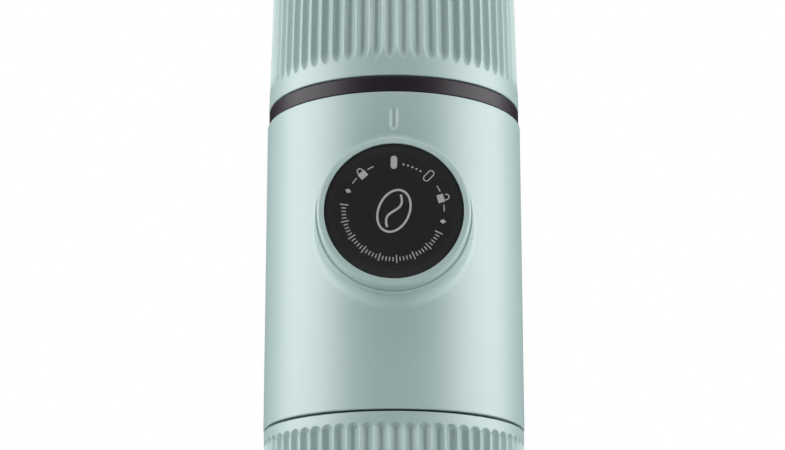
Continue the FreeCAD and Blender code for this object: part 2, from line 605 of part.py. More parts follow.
def block_screws():
    """Four screws through the valve block into the pump's end flange, their heads sunk."""
    one = rod(BLOCK_SCREW_HEAD, BLOCK_BACK, BLOCK_BACK + SCREW_HEAD_THICK)
    one = one.fuse(rod(SCREW_SHANK, BLOCK_BACK + SCREW_HEAD_THICK / 2, PUMP_BACK + BLOCK_SCREW_BITE))
    one = one.removeSplitter()
    return Part.makeCompound([on_knob_axis(moved(one, x, y, 0)) for x, y in block_screw_places()])


def collar_screws():
    """Four screws that hold the collar's floor to the upper deck."""
    one = moved(screw(SCREW_LENGTH), SCREW_CIRCLE, 0, COLLAR_FLOOR_TOP)
    return Part.makeCompound(around(one, 4, 45))


def brew_chamber():
    """Chamber that takes the outlet head: roof, and bore with three catches."""
    low = BODY_LOW + BREW_INSET
    bore = CHAMBER_RADIUS
    piece = turned([(0, BREW_ROOF_LOW), (SCREEN_RECESS, BREW_ROOF_LOW), (SCREEN_RECESS, SEAL_SEAT),
                    (bore, SEAL_SEAT), (bore, low), (bore + CHAMBER_WALL, low),
                    (bore + CHAMBER_WALL, BREW_ROOF_LOW), (FRAME_RADIUS, BREW_ROOF_LOW),
                    (FRAME_RADIUS, BREW_ROOF_TOP), (0, BREW_ROOF_TOP)])
    catch_top = HEAD_LUG_BOTTOM - LUG_GAP
    catch = sector(bore + CHAMBER_WALL / 2, HEAD_RADIUS + FREE, low, catch_top,
                   -CATCH_HALF, 2 * CATCH_HALF)
    piece = piece.fuse(around(catch, CATCH_COUNT, 90)).removeSplitter()
    bore_way = rod(VALVE_BORE, BREW_ROOF_LOW - 1, VALVE_SEAT_Z)
    seat = rod(BALL_SEAT, VALVE_SEAT_Z - 1, BREW_ROOF_TOP + 1)
    deep = SCREW_LENGTH - LOWER_DECK + FREE
    pilot = moved(rod(SCREW_SHANK, BREW_ROOF_TOP - deep, BREW_ROOF_TOP + 1), BREW_SCREW_CIRCLE, 0, 0)
    return piece.cut([bore_way, seat] + around(pilot, 4, 45))


def lower_ring():
    """Ring under the chamber's roof that backs the shell down to its lower end."""
    return tube(FRAME_RADIUS, FRAME_RADIUS - LOWER_RING_WALL, BODY_LOW + BREW_INSET, BREW_ROOF_LOW)


def brew_screws():
    """Four screws that hold the brew chamber to the lower deck."""
    one = moved(screw(SCREW_LENGTH), BREW_SCREW_CIRCLE, 0, LOWER_DECK_TOP)
    return Part.makeCompound(around(one, 4, 45))


def shower_screen():
    """Perforated disc that spreads the water over the coffee."""
    disc = rod(SCREEN_RADIUS, SCREEN_LOW, SCREEN_LOW + SCREEN_THICK)
    hole = rod(SCREEN_HOLE, SCREEN_LOW - 1, SCREEN_LOW + SCREEN_THICK + 1)
    holes = []
    for ring in range(1, 5):
        holes += around(moved(hole, (SCREEN_RADIUS - 2) * ring / 4, 0, 0), 6 * ring)
    return disc.cut(holes)


def pressure_ball():
    """Ball that keeps the pump's outlet shut until the pressure has built up."""
    return Part.makeSphere(BALL_RADIUS, Vector(0, 0, BALL_Z))


def valve_spring():
    """Small spring that holds the ball to its seat."""
    low = SCREEN_LOW + SCREEN_THICK + FIT
    contact = (BALL_RADIUS * 0.7) + VALVE_SPRING_WIRE
    high = BALL_Z - math.sqrt((BALL_RADIUS + VALVE_SPRING_WIRE) ** 2 - contact ** 2)
    return coil(contact, VALVE_SPRING_WIRE, low, high + VALVE_SPRING_WIRE - FIT, VALVE_SPRING_TURNS)


# ---------------------------------------------------------------- piston, which only slides
def piston_rod():
    """Piston head with two seal grooves, its rod, and the neck that the knob turns on."""
    piece = rod(PISTON_RADIUS, PISTON_BACK, PISTON_FRONT)
    for height in seal_heights():
        piece = piece.cut(tube(PISTON_RADIUS + 1, PISTON_RADIUS - ORING_RADIUS - FIT,
                               height - ORING_RADIUS - FIT, height + ORING_RADIUS + FIT))
    piece = piece.fuse(rod(ROD_RADIUS, PISTON_FRONT - 1, WEB_BACK - RUN))
    piece = piece.fuse(rod(ROD_NECK, WEB_BACK - 1, WEB_FRONT + ROD_TIP)).removeSplitter()
    groove = tube(ROD_NECK + 1, ROD_NECK - CLIP_GROOVE, WEB_FRONT + RUN, WEB_FRONT + RUN + CLIP_THICK)
    return on_knob_axis(piece.cut(groove))


def seal_heights():
    """Middles of the two seal grooves on the piston."""
    return [PISTON_BACK + PISTON_LENGTH * share for share in (0.3, 0.7)]


def piston_seals():
    """The piston's two seals, square in section as they sit pressed in the bore."""
    inside = PISTON_RADIUS - ORING_RADIUS
    outside = PUMP_BORE - RUN / 2
    rings = [tube(outside, inside, height - ORING_RADIUS, height + ORING_RADIUS)
             for height in seal_heights()]
    return Part.makeCompound([on_knob_axis(ring) for ring in rings])


def rod_clip():
    """Retaining clip in the rod's neck, open on one side."""
    low = WEB_FRONT + RUN + FIT / 2
    clip = tube(ROD_NECK + 2, ROD_NECK - CLIP_GROOVE + FIT, low, low + CLIP_THICK - FIT)
    mouth = block(0, ROD_NECK + 3, -ROD_NECK / 2, ROD_NECK / 2, low - 1, low + CLIP_THICK + 1)
    return on_knob_axis(clip.cut(mouth))


# ---------------------------------------------------------------- knob, which slides with the piston and turns
def knob_sleeve():
    """Sleeve behind the knob, with the tracks that the bush's pins run in."""
    inside = SLEEVE_RADIUS - SLEEVE_WALL
    sleeve = tube(SLEEVE_RADIUS, inside, SLEEVE_BACK, SLEEVE_FRONT)
    web = tube(inside + SLEEVE_WALL / 2, ROD_NECK + RUN, WEB_BACK, WEB_FRONT)
    sleeve = sleeve.fuse(web).removeSplitter()
    play = math.degrees(FREE / SLEEVE_RADIUS)
    track = sector(SLEEVE_RADIUS + 1, TRACK_FLOOR, PIN_BACK - STROKE - FREE, PIN_FRONT + FREE,
                   -KNOB_TURN - PIN_HALF - play, KNOB_TURN + 2 * (PIN_HALF + play))
    return on_knob_axis(sleeve.cut(around(track, PIN_COUNT, 90)))


def knob_ring():
    """Outer ring of the knob: sloping face, rounded outer edge, straight side."""
    inner = DISC_RADIUS + FIT
    seat = SLEEVE_FRONT + FIT
    piece = turned([(inner, KNOB_FACE), (KNOB_RADIUS, KNOB_FACE - RING_SLOPE), (KNOB_RADIUS, RING_BACK),
                    (SLEEVE_RADIUS + FIT, RING_BACK), (SLEEVE_RADIUS + FIT, seat), (inner, seat)])
    piece = rounded(piece, RING_NOSE, KNOB_FACE - RING_SLOPE, KNOB_RADIUS)
    return on_knob_axis(piece)


def knob_disc():
    """Black disc of the knob's face, its middle a shallow step lower than its band."""
    middle = DISC_RADIUS - DISC_BAND
    low = SLEEVE_FRONT
    slope = DISC_STEP / 2
    piece = turned([(0, low), (DISC_RADIUS, low), (DISC_RADIUS, DISC_FACE),
                    (middle + slope, DISC_FACE - slope), (middle, DISC_FACE - slope - DISC_STEP),
                    (0, DISC_FACE - slope - DISC_STEP)])
    return on_knob_axis(piece)


# ---------------------------------------------------------------- tank
def tank_seal():
    """Soft seal that stays on the neck when the tank is lifted away."""
    top = NECK_TOP + TANK_SEAL_THICK
    piece = tube(NECK_RADIUS, NECK_RADIUS - TANK_SEAL_WIDTH, NECK_TOP, top)
    return rounded(piece, 2 * EDGE, top, NECK_RADIUS)


def tank_rim():
    """Black insert in the tank's mouth, with the lugs that turn under the neck's catches."""
    low = TANK_LOW + EDGE
    piece = turned([(RIM_INSIDE, low), (RIM_OUTSIDE, low), (RIM_OUTSIDE, RIM_TOP),
                    (RIM_OUTSIDE - RIM_ROOF_WIDTH, RIM_TOP), (RIM_OUTSIDE - RIM_ROOF_WIDTH, RIM_ROOF_LOW),
                    (RIM_INSIDE, RIM_ROOF_LOW)])
    top = CATCH_LOW - LUG_GAP
    lug = sector(RIM_INSIDE + (RIM_OUTSIDE - RIM_INSIDE) / 2, NECK_RADIUS + FREE, top - LUG_THICK, top,
                 -CATCH_HALF, 2 * CATCH_HALF)
    return piece.fuse(around(lug, CATCH_COUNT, 90 + 180 / CATCH_COUNT)).removeSplitter()


def tank_shell():
    """Fluted tank, closed at the top, narrowing upwards."""
    fall = math.tan(math.radians(TANK_TAPER))
    low_radius = BODY_RADIUS - TANK_INSET
    top_radius = low_radius - fall * TANK_HEIGHT
    shell = turned([(0, TANK_LOW), (low_radius, TANK_LOW), (top_radius, TANK_TOP), (0, TANK_TOP)])
    shell = rounded(shell, TANK_EDGE, TANK_TOP, top_radius)
    shell = rounded(shell, EDGE, TANK_LOW, low_radius)
    hollow = rod(TANK_BORE, TANK_LOW - 1, RIM_TOP + FIT)
    hollow = hollow.fuse(rounded(rod(TANK_INSIDE, TANK_LOW, TANK_TOP - TANK_ROOF), TANK_EDGE / 2,
                                 TANK_TOP - TANK_ROOF, TANK_INSIDE))
    shell = shell.cut(hollow.removeSplitter())
    groove_low = TANK_LOW + TANK_BAND
    groove_high = TANK_TOP - TANK_TOP_BAND
    return fluted(shell, low_radius - fall * TANK_BAND, groove_low,
                  low_radius - fall * (groove_high - TANK_LOW), groove_high, TANK_FLUTE_TURN)


# ---------------------------------------------------------------- outlet head and what comes off with it
def brew_seal():
    """Soft seal over the basket's rim; it stays in the chamber."""
    inside = SCREEN_RECESS + FREE
    return tube(CHAMBER_RADIUS - FREE, inside, SEAL_SEAT - BREW_SEAL_THICK, SEAL_SEAT)


def outlet_head():
    """Head that holds the basket: upstand with lugs over a flange."""
    bore = CONE_RADIUS - 2 * CONE_WALL
    piece = turned([(bore, HEAD_FLANGE_LOW), (HEAD_FLANGE_RADIUS, HEAD_FLANGE_LOW),
                    (HEAD_FLANGE_RADIUS, HEAD_FLANGE_TOP), (HEAD_RADIUS, HEAD_FLANGE_TOP),
                    (HEAD_RADIUS, HEAD_TOP), (HEAD_INSIDE, HEAD_TOP), (HEAD_INSIDE, POCKET_FLOOR),
                    (bore, POCKET_FLOOR)])
    groove_half = GRIP_RADIUS + FIT
    piece = piece.cut(tube(HEAD_FLANGE_RADIUS + 1, GRIP_CIRCLE - groove_half,
                           flange_middle() - groove_half, flange_middle() + groove_half))
    lug = sector(HEAD_RADIUS + HEAD_LUG_REACH, HEAD_RADIUS - HEAD_WALL / 2, HEAD_LUG_BOTTOM,
                 HEAD_LUG_BOTTOM + LUG_THICK, -CATCH_HALF, 2 * CATCH_HALF)
    return piece.fuse(around(lug, CATCH_COUNT, 90 + 180 / CATCH_COUNT)).removeSplitter()


def outlet_funnel():
    """Funnel welded under the head's flange, which leads the coffee to the spout."""
    mouth = CONE_RADIUS - 2 * CONE_WALL
    piece = turned([(SPOUT_BORE, CONE_LOW), (SPOUT_RADIUS, CONE_LOW), (CONE_RADIUS, HEAD_FLANGE_LOW),
                    (mouth, HEAD_FLANGE_LOW), (SPOUT_BORE, CONE_LOW + CONE_WALL)])
    return piece.cut(rod(NOZZLE_RADIUS + FIT, CONE_LOW - 1, CONE_LOW + CONE_WALL / 2))


def flange_middle():
    """Height of the grip ring's groove."""
    return (HEAD_FLANGE_LOW + HEAD_FLANGE_TOP) / 2


def grip_ring():
    """Soft ring in the flange's edge that grips the cup."""
    return Part.makeTorus(GRIP_CIRCLE, GRIP_RADIUS, Vector(0, 0, flange_middle()))


def nozzle():
    """Spout tip with two outlets side by side."""
    top = CONE_LOW + CONE_WALL / 2
    low = CONE_LOW - NOZZLE_LENGTH
    piece = rounded(rod(NOZZLE_RADIUS, low, top), 2 * EDGE, low, NOZZLE_RADIUS)
    for side in (-1, 1):
        outlet = rod(SPOUT_BORE, low - 1, top + 1)
        piece = piece.cut(moved(outlet, side * (SPOUT_BORE + 2 * FREE), 0, 0))
    return piece


def basket():
    """Coffee basket: thin cup with a turned-out rim and a perforated floor."""
    low = BASKET_RIM_TOP - BASKET_WALL - BASKET_DEPTH
    inside = BASKET_RADIUS - BASKET_WALL
    piece = turned([(0, low), (BASKET_RADIUS, low), (BASKET_RADIUS, HEAD_TOP),
                    (BASKET_RIM_RADIUS, HEAD_TOP), (BASKET_RIM_RADIUS, BASKET_RIM_TOP),
                    (inside, BASKET_RIM_TOP), (inside, low + BASKET_WALL), (0, low + BASKET_WALL)])
    hole = rod(BASKET_HOLE, low - 1, low + BASKET_WALL + 1)
    holes = []
    for ring in range(1, 5):
        holes += around(moved(hole, (inside - 2) * ring / 4, 0, 0), 6 * ring)
    return piece.cut(holes)


# ---------------------------------------------------------------- cup and scoop
def cup_radius(height):
    """Outside radius of the cup's taper at a height."""
    return CUP_RADIUS - math.tan(math.radians(CUP_TAPER)) * (CUP_TOP - height)


def cup_shell():
    """Fluted cup that covers the outlet head, with a pocket for the pad in its underside."""
    foot_radius = cup_radius(PAD_PROUD)
    inside_top = CUP_RADIUS - CUP_WALL
    inside_low = cup_radius(CUP_FLOOR) - CUP_WALL
    cup = turned([(0, PAD_PROUD), (foot_radius, PAD_PROUD), (CUP_RADIUS, CUP_TOP), (0, CUP_TOP)])
    cup = rounded(cup, CUP_EDGE, PAD_PROUD, foot_radius)
    cup = rounded(cup, EDGE, CUP_TOP, CUP_RADIUS)
    hollow = turned([(0, CUP_FLOOR), (inside_low, CUP_FLOOR), (inside_top, CUP_TOP),
                     (inside_top, CUP_TOP + 1), (0, CUP_TOP + 1)])
    cup = cup.cut(rounded(hollow, CUP_EDGE, CUP_FLOOR, inside_low))
    cup = cup.cut(cup_pad())
    groove_high = CUP_TOP - CUP_BAND
    return fluted(cup, cup_radius(CUP_FOOT_BAND), CUP_FOOT_BAND,
                  cup_radius(groove_high), groove_high, CUP_FLUTE_TURN)


def cup_pad():
    """Square non-slip pad let into the cup's underside; the maker stands on it."""
    return block(-PAD_HALF, PAD_HALF, -PAD_HALF, PAD_HALF, 0, PAD_PROUD + PAD_POCKET)


def scoop():
    """Coffee scoop stored in the cup; its flat underside tamps the coffee."""
    low = CUP_FLOOR + SCOOP_SEAT
    high = low + SCOOP_HEIGHT
    piece = rounded(rod(SCOOP_RADIUS, low, high), SCOOP_WALL / 2, low, SCOOP_RADIUS)
    hollow = rounded(rod(SCOOP_RADIUS - SCOOP_WALL, low + SCOOP_WALL, high + 1), SCOOP_WALL,
                     low + SCOOP_WALL, SCOOP_RADIUS - SCOOP_WALL)
    return piece.cut(hollow)


PIECES = [body_shell, guide_bush, collar, chassis, pump_cylinder, valve_block, inlet_tube, outlet_tube,
          inlet_valve, block_seal, inlet_filter, pump_spring, pump_screws, block_screws, collar_screws,
          brew_chamber, lower_ring, brew_screws, shower_screen, pressure_ball, valve_spring, piston_rod,
          piston_seals, rod_clip, knob_sleeve, knob_ring, knob_disc, tank_seal, tank_rim, tank_shell,
          brew_seal, outlet_head, outlet_funnel, grip_ring, nozzle, basket, cup_shell, cup_pad, scoop]

for piece in PIECES:
    shape = piece()
    shape.exportStep("parts/" + piece.__name__ + ".step")
    print(piece.__name__, shape.isValid(), len(shape.Solids), round(shape.Volume, 1))
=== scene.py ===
"""Looks of a handheld manual espresso maker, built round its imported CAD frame.

Lengths are in metres, +Z is up and the pump knob faces -Y. Each sub-assembly is a class that builds
its own meshes where the CAD shape needs a finer surface, and dresses the CAD nodes that stay.
"""

import logging
import math
from dataclasses import dataclass, field
from enum import Enum
from typing import Any, Callable, Sequence

import bmesh
import bpy
import numpy as np
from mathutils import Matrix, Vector


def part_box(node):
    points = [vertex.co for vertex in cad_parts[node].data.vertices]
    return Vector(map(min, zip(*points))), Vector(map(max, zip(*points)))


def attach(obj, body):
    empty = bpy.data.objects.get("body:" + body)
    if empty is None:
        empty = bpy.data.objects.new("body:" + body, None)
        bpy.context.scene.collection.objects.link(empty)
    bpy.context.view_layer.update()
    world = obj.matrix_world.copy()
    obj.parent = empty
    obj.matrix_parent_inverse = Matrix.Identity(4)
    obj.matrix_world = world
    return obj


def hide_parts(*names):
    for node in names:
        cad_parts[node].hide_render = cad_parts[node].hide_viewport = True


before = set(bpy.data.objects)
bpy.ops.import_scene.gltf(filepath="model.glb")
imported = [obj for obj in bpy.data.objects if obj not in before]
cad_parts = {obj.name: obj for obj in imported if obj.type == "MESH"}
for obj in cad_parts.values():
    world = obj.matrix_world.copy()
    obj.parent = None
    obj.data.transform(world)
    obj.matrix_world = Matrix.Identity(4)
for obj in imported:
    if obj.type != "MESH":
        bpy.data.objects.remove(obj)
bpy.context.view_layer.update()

MM = 0.001
FULL_TURN = 2 * math.pi
WELD = 0.0005 * MM  # points closer than this become one
TINY = 1e-9  # keeps a divisor off zero
SAME_ANGLE = 1e-6  # angles closer than this are one, in radians
NEARLY = 0.999  # keeps an arc off the next corner
log = logging.getLogger("espresso_maker")

Array = np.ndarray
Material = bpy.types.Material
Colour = tuple[float, float, float]
Pair = tuple[float, float]


class Slot(Enum):
    """Names of material slots in the record; the pieces built here don't use them."""

    MINT = "mint_plastic"
    BLACK = "black_plastic"
    FACE = "knob_face"
    GREY = "grey_plastic"


# ---- shader expressions
MIX_SHARE, MIX_LOW, MIX_HIGH, MIX_RESULT = 0, 6, 7, 2  # a Mix node's colour sockets


def operator(operation: str, swapped: bool = False) -> Callable[["Signal", Any], "Signal"]:
    """Makes an operator that adds a Math node, or a Vector Math node for a vector.

    Args:
        operation: The node's operation.
        swapped: Whether the signal is the second operand, as in a reflected operator.

    Returns:
        The method for the operator.
    """
    def combine(signal: "Signal", other: Any) -> "Signal":
        """Adds the node."""
        kind = "ShaderNodeVectorMath" if signal.socket.type == "VECTOR" else "ShaderNodeMath"
        left, right = (other, signal) if swapped else (signal, other)
        return signal.recipe.node(kind, {"operation": operation}, {0: left, 1: right})
    return combine


@dataclass(frozen=True)
class Signal:
    """A node's output that takes part in Python expressions, which add Math nodes."""

    recipe: "Recipe"
    socket: bpy.types.NodeSocket

    __add__, __radd__ = operator("ADD"), operator("ADD", True)
    __sub__, __rsub__ = operator("SUBTRACT"), operator("SUBTRACT", True)
    __mul__, __rmul__ = operator("MULTIPLY"), operator("MULTIPLY", True)


class Recipe:
    """Node tree of one material or of the world, filled from Python expressions."""

    def __init__(self, owner: Material | bpy.types.World) -> None:
        """Empties the tree of a new material or world."""
        self.owner = owner
        owner.use_nodes = True
        self.tree = owner.node_tree
        self.tree.nodes.clear()

    def node(self, kind: str, settings: dict[str, Any], inputs: dict[Any, Any],
             output: Any = 0) -> Signal:
        """Adds one node.

        Args:
            kind: Blender's node type.
            settings: Attributes, which are set first.
            inputs: Socket name or number to a number, a colour or a signal.
            output: Name or number of the output that is returned.

        Returns:
            The chosen output.
        """
        made = self.tree.nodes.new(kind)
        for key, value in settings.items():
            setattr(made, key, value)
        for key, value in inputs.items():
            if isinstance(value, Signal):
                self.tree.links.new(value.socket, made.inputs[key])
            elif made.inputs[key].type == "RGBA" and len(value) == 3:
                made.inputs[key].default_value = (*value, 1.0)
            else:
                made.inputs[key].default_value = value
        return Signal(self, made.outputs[output])

    def place(self) -> Signal:
        """Position in the object's own frame, in metres."""
        return self.node("ShaderNodeTexCoord", {}, {}, "Object")

    def part(self, vector: Signal, axis: str) -> Signal:
        """One component of a vector, named by its axis."""
        return self.node("ShaderNodeSeparateXYZ", {}, {0: vector}, axis)

    def noise(self, place: Signal, size: float, detail: float = 2.0) -> Signal:
        """Noise from 0 to 1 at a place, with features of a size in metres."""
        return self.node("ShaderNodeTexNoise", {}, {"Vector": place, "Scale": 1 / size, "Detail": detail})

    def mix(self, share: Signal, low: Any, high: Any) -> Signal:
        """Blend of two colours, where a share of 0 gives the first and 1 the second."""
        return self.node("ShaderNodeMix", {"data_type": "RGBA"},
                         {MIX_SHARE: share, MIX_LOW: low, MIX_HIGH: high}, MIX_RESULT)

    def bump(self, height: Signal, distance: float) -> Signal:
        """Normal bent by a height, which is a distance in metres where it is 1."""
        return self.node("ShaderNodeBump", {}, {"Height": height, "Distance": distance, "Strength": 1.0})

    def surface(self, sockets: dict[str, Any]) -> Material:
        """Closes the recipe with a Principled shader, from what its sockets get."""
        return self.output(self.node("ShaderNodeBsdfPrincipled", {}, sockets))

    def output(self, shader: Signal, kind: str = "ShaderNodeOutputMaterial") -> Any:
        """Links a shader to a new output node of a kind and returns the material or world."""
        self.tree.links.new(shader.socket, self.tree.nodes.new(kind).inputs["Surface"])
        return self.owner


# ---- finishes
def shade(colour: Colour, factor: float) -> Colour:
    """A colour made lighter or darker by a factor."""
    return tuple(min(1.0, channel * factor) for channel in colour)


@dataclass(frozen=True)
class MouldedPlastic:
    """Moulded plastic with a fine eroded grain and slow drifts of gloss and tint."""

    name: str
    colour: Colour
    roughness: float
    grain: float = 0.16 * MM
    grain_depth: float = 0.0022 * MM
    grain_gloss: float = 0.03  # roughness that the grain adds
    cloud: float = 14 * MM  # size of the slow drifts
    cloud_gloss: float = 0.05
    drift: float = 0.02
    coat: float = 0.0  # weight of the satin lacquer
    coat_roughness: float = 0.3
    specular: float = 0.5  # 0.5 for a plain plastic

    def build(self) -> Material:
        """Builds the node material."""
        recipe = Recipe(bpy.data.materials.new(self.name))
        place = recipe.place()
        grain = recipe.noise(place, self.grain, 1.0)
        cloud = recipe.noise(place, self.cloud, 3.0)
        tint = recipe.mix(cloud, shade(self.colour, 1 - self.drift), shade(self.colour, 1 + self.drift))
        return recipe.surface({
            "Base Color": tint,
            "Roughness": self.roughness + self.cloud_gloss * cloud + self.grain_gloss * grain,
            "Normal": recipe.bump(grain, self.grain_depth),
            "Specular IOR Level": self.specular,
            "Coat Weight": self.coat,
            "Coat Roughness": self.coat_roughness,
        })


@dataclass(frozen=True)
class Spotted:
    """Even material with faint spots, such as dusty rubber or thinly printed ink."""

    name: str
    colour: Colour
    spot: float
    detail: float
    dark: float  # tint between the spots
    light: float  # tint of the spots
    roughness: float  # between the spots
    gloss: float  # roughness that a spot adds
    depth: float = 0.0

    def build(self) -> Material:
        """Builds the node material."""
        recipe = Recipe(bpy.data.materials.new(self.name))
        spots = recipe.noise(recipe.place(), self.spot, self.detail)
        sockets = {
            "Base Color": recipe.mix(spots, shade(self.colour, self.dark), shade(self.colour, self.light)),
            "Roughness": self.roughness + self.gloss * spots,
        }
        if self.depth:
            sockets["Normal"] = recipe.bump(spots, self.depth)
        return recipe.surface(sockets)


@dataclass(frozen=True)
class TurnedSteel:
    """Steel with fine lines round its axis, left by turning, pressing or drawing."""

    name: str
    colour: Colour
    roughness: float
    line: float = 0.12 * MM  # spacing of the lines
    line_depth: float = 0.002 * MM
    line_gloss: float = 0.08
    smear: float = 6 * MM  # size of the marks of handling
    smear_tint: float = 0.93
    smear_gloss: float = 0.06

    def build(self) -> Material:
        """Builds the node material."""
        recipe = Recipe(bpy.data.materials.new(self.name))
        place = recipe.place()
        level = place * (1, 1, 0)
        radius = recipe.node("ShaderNodeVectorMath", {"operation": "LENGTH"}, {0: level}, "Value")
        height = recipe.part(place, "Z")
        along = recipe.node("ShaderNodeCombineXYZ", {}, {0: radius, 1: height})
        lines = recipe.noise(along, self.line, 2.0)
        smears = recipe.noise(place, self.smear, 3.0)
        return recipe.surface({
            "Base Color": recipe.mix(smears, shade(self.colour, self.smear_tint), self.colour),
            "Metallic": 1.0,
            "Roughness": self.roughness + self.line_gloss * lines + self.smear_gloss * smears,
            "Normal": recipe.bump(lines, self.line_depth),
        })


class Palette:
    """The maker's finishes, one material each."""

    def __init__(self) -> None:
        """Builds every finish once."""
        self.mint = MouldedPlastic("mint_satin", (0.305, 0.425, 0.412), 0.44, specular=1.0, coat=0.5,
                                   coat_roughness=0.46).build()
        self.black = MouldedPlastic("black_satin", (0.0125, 0.007, 0.0135), 0.38, specular=0.36,
                                    drift=0.05).build()
        self.inner_black = MouldedPlastic("black_matt", (0.02, 0.02, 0.022), 0.56, grain=0.3 * MM).build()
        self.face = MouldedPlastic("knob_black", (0.008, 0.008, 0.009), 0.38, drift=0.05).build()
        self.ink = Spotted("grey_ink", (0.36, 0.36, 0.365), spot=0.25 * MM, detail=3.0, dark=0.82,
                           light=1.1, roughness=0.5, gloss=0.1).build()
        self.grey = MouldedPlastic("pump_grey", (0.33, 0.34, 0.35), 0.41).build()
        self.silicone = Spotted("seal_rubber", (0.05, 0.05, 0.052), spot=0.9 * MM, detail=4.0, dark=1.0,
                                light=1.35, roughness=0.62, gloss=0.12, depth=0.01 * MM).build()
        self.steel = TurnedSteel("pressed_steel", (0.66, 0.655, 0.64), 0.22).build()
        self.wire = TurnedSteel("drawn_wire", (0.6, 0.6, 0.59), 0.16, line=0.3 * MM).build()


# ---- outlines and meshes
@dataclass(frozen=True)
class Corner:
    """A corner of a section, at a radius and a height, with its rounding."""

    radius: float
    height: float
    rounding: float = 0.0


def outline(corners: Sequence[Corner], closed: bool = False, steps: int = 6) -> Array:
    """Points of a section whose corners are rounded with arcs.

    Args:
        corners: The corners in order.
        closed: Whether the last corner joins the first.
        steps: Pieces of each arc.

    Returns:
        Array of (radius, height) rows.
    """
    places = [np.array((c.radius, c.height)) for c in corners]
    points = []
    for i, corner in enumerate(corners):
        here = places[i]
        if corner.rounding == 0:
            points.append(here)
            continue
        back = places[i - 1] - here
        ahead = places[(i + 1) % len(corners)] - here
        back, ahead = back / np.linalg.norm(back), ahead / np.linalg.norm(ahead)
        half = math.acos(float(np.clip(back @ ahead, -1, 1))) / 2
        middle = (back + ahead) / np.linalg.norm(back + ahead)
        centre = here + middle * corner.rounding / math.sin(half)
        reach = corner.rounding / math.tan(half)
        start = here + back * reach - centre
        end = here + ahead * reach - centre
        points.extend(centre + arc for arc in sweep(start, end, steps))
    if closed:
        points.append(points[0])
    return np.array(points)


def sweep(start: Array, end: Array, steps: int) -> list[Array]:
    """Vectors that turn evenly from one to another of the same length.

    Args:
        start: First vector, or an array of them.
        end: Last vector, or an array of them.
        steps: Number of equal turns between them.

    Returns:
        The vectors, both ends included.
    """
    size = np.linalg.norm(start, axis=-1, keepdims=True) * np.linalg.norm(end, axis=-1, keepdims=True)
    angle = np.arccos(np.clip(np.sum(start * end, -1, keepdims=True) / size, -1, 1))
    return [(np.sin((1 - t) * angle) * start + np.sin(t * angle) * end) / np.sin(angle)
            for t in np.linspace(0, 1, steps + 1)]


@dataclass
class Skin:
    """A mesh that grows from grids of points."""

    points: list[Array] = field(default_factory=list)
    faces: list[tuple[int, ...]] = field(default_factory=list)
    count: int = 0

    def grid(self, rows: Array) -> "Skin":
        """Adds a grid of quads.

        Args:
            rows: Array of shape (rows, columns, 3).

        Returns:
            The skin itself.
        """
        tall, wide = rows.shape[:2]
        number = np.arange(tall * wide).reshape(tall, wide) + self.count
        corners = (number[:-1, :-1], number[:-1, 1:], number[1:, 1:], number[1:, :-1])
        self.faces.extend(map(tuple, np.stack(corners, -1).reshape(-1, 4).tolist()))
        self.points.append(rows.reshape(-1, 3))
        self.count += tall * wide
        return self

    def polygon(self, loop: Array) -> None:
        """Adds one flat face from its corners, an array of shape (corners, 3)."""
        self.faces.append(tuple(range(self.count, self.count + len(loop))))
        self.points.append(loop)
        self.count += len(loop)

    def build(self, name: str, sharp: float = 40.0) -> bpy.types.Object:
        """Welds the grids into one smooth-shaded mesh.

        Args:
            name: The piece's name.
            sharp: Angle in degrees above which an edge stays sharp.

        Returns:
            The new object, linked to the scene.
        """
        mesh = bpy.data.meshes.new(name)
        mesh.from_pydata(np.concatenate(self.points).tolist(), [], self.faces)
        cast = bmesh.new()
        cast.from_mesh(mesh)
        bmesh.ops.remove_doubles(cast, verts=cast.verts, dist=WELD)
        bmesh.ops.dissolve_degenerate(cast, edges=cast.edges, dist=WELD)
        bmesh.ops.recalc_face_normals(cast, faces=cast.faces)
        cast.to_mesh(mesh)
        cast.free()
        mesh.shade_smooth()
        mesh.set_sharp_from_angle(angle=math.radians(sharp))
        made = bpy.data.objects.new(name, mesh)
        bpy.context.scene.collection.objects.link(made)
        weighted = made.modifiers.new("flat_faces_lead", "WEIGHTED_NORMAL")
        weighted.keep_sharp = True
        return made


def full_turn(steps: int) -> Array:
    """Angles of one full turn in equal steps, both ends included."""
    return np.linspace(0, FULL_TURN, steps + 1)


def turned(section: Array, angles: Array, depths: Array | float = 0.0) -> Array:
    """Rows of points of a (radius, height) section turned about Z to angles, sunk in by depths."""
    radius, height = section[:, :1] - depths, section[:, 1:]
    return np.stack([radius * np.sin(angles), -radius * np.cos(angles), height * np.ones_like(angles)], -1)


def on_knob_axis(rows: Array, axis_height: float) -> Array:
    """Stands points made about Z on the knob's axis, +Z turned out of the front."""
    x, y, z = np.moveaxis(rows, -1, 0)
    return np.stack([x, -z, axis_height + y], -1)


def dress(node: str, material: Material) -> None:
    """Gives a CAD node's every material slot one finish."""
    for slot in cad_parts[node].material_slots:
        slot.material = material


def fit(piece: bpy.types.Object, material: Material, body: str,
        nodes: Sequence[str] = ()) -> None:
    """Finishes a new piece and ties it to the frame.

    Args:
        piece: The new object.
        material: Its finish.
        body: CAD body that it rides on.
        nodes: CAD nodes that it stands for.
    """
    piece.data.materials.append(material)
    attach(piece, body)
    if nodes:
        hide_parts(*nodes)
    log.info("%s rides on %s: %d faces", piece.name, body, len(piece.data.polygons))


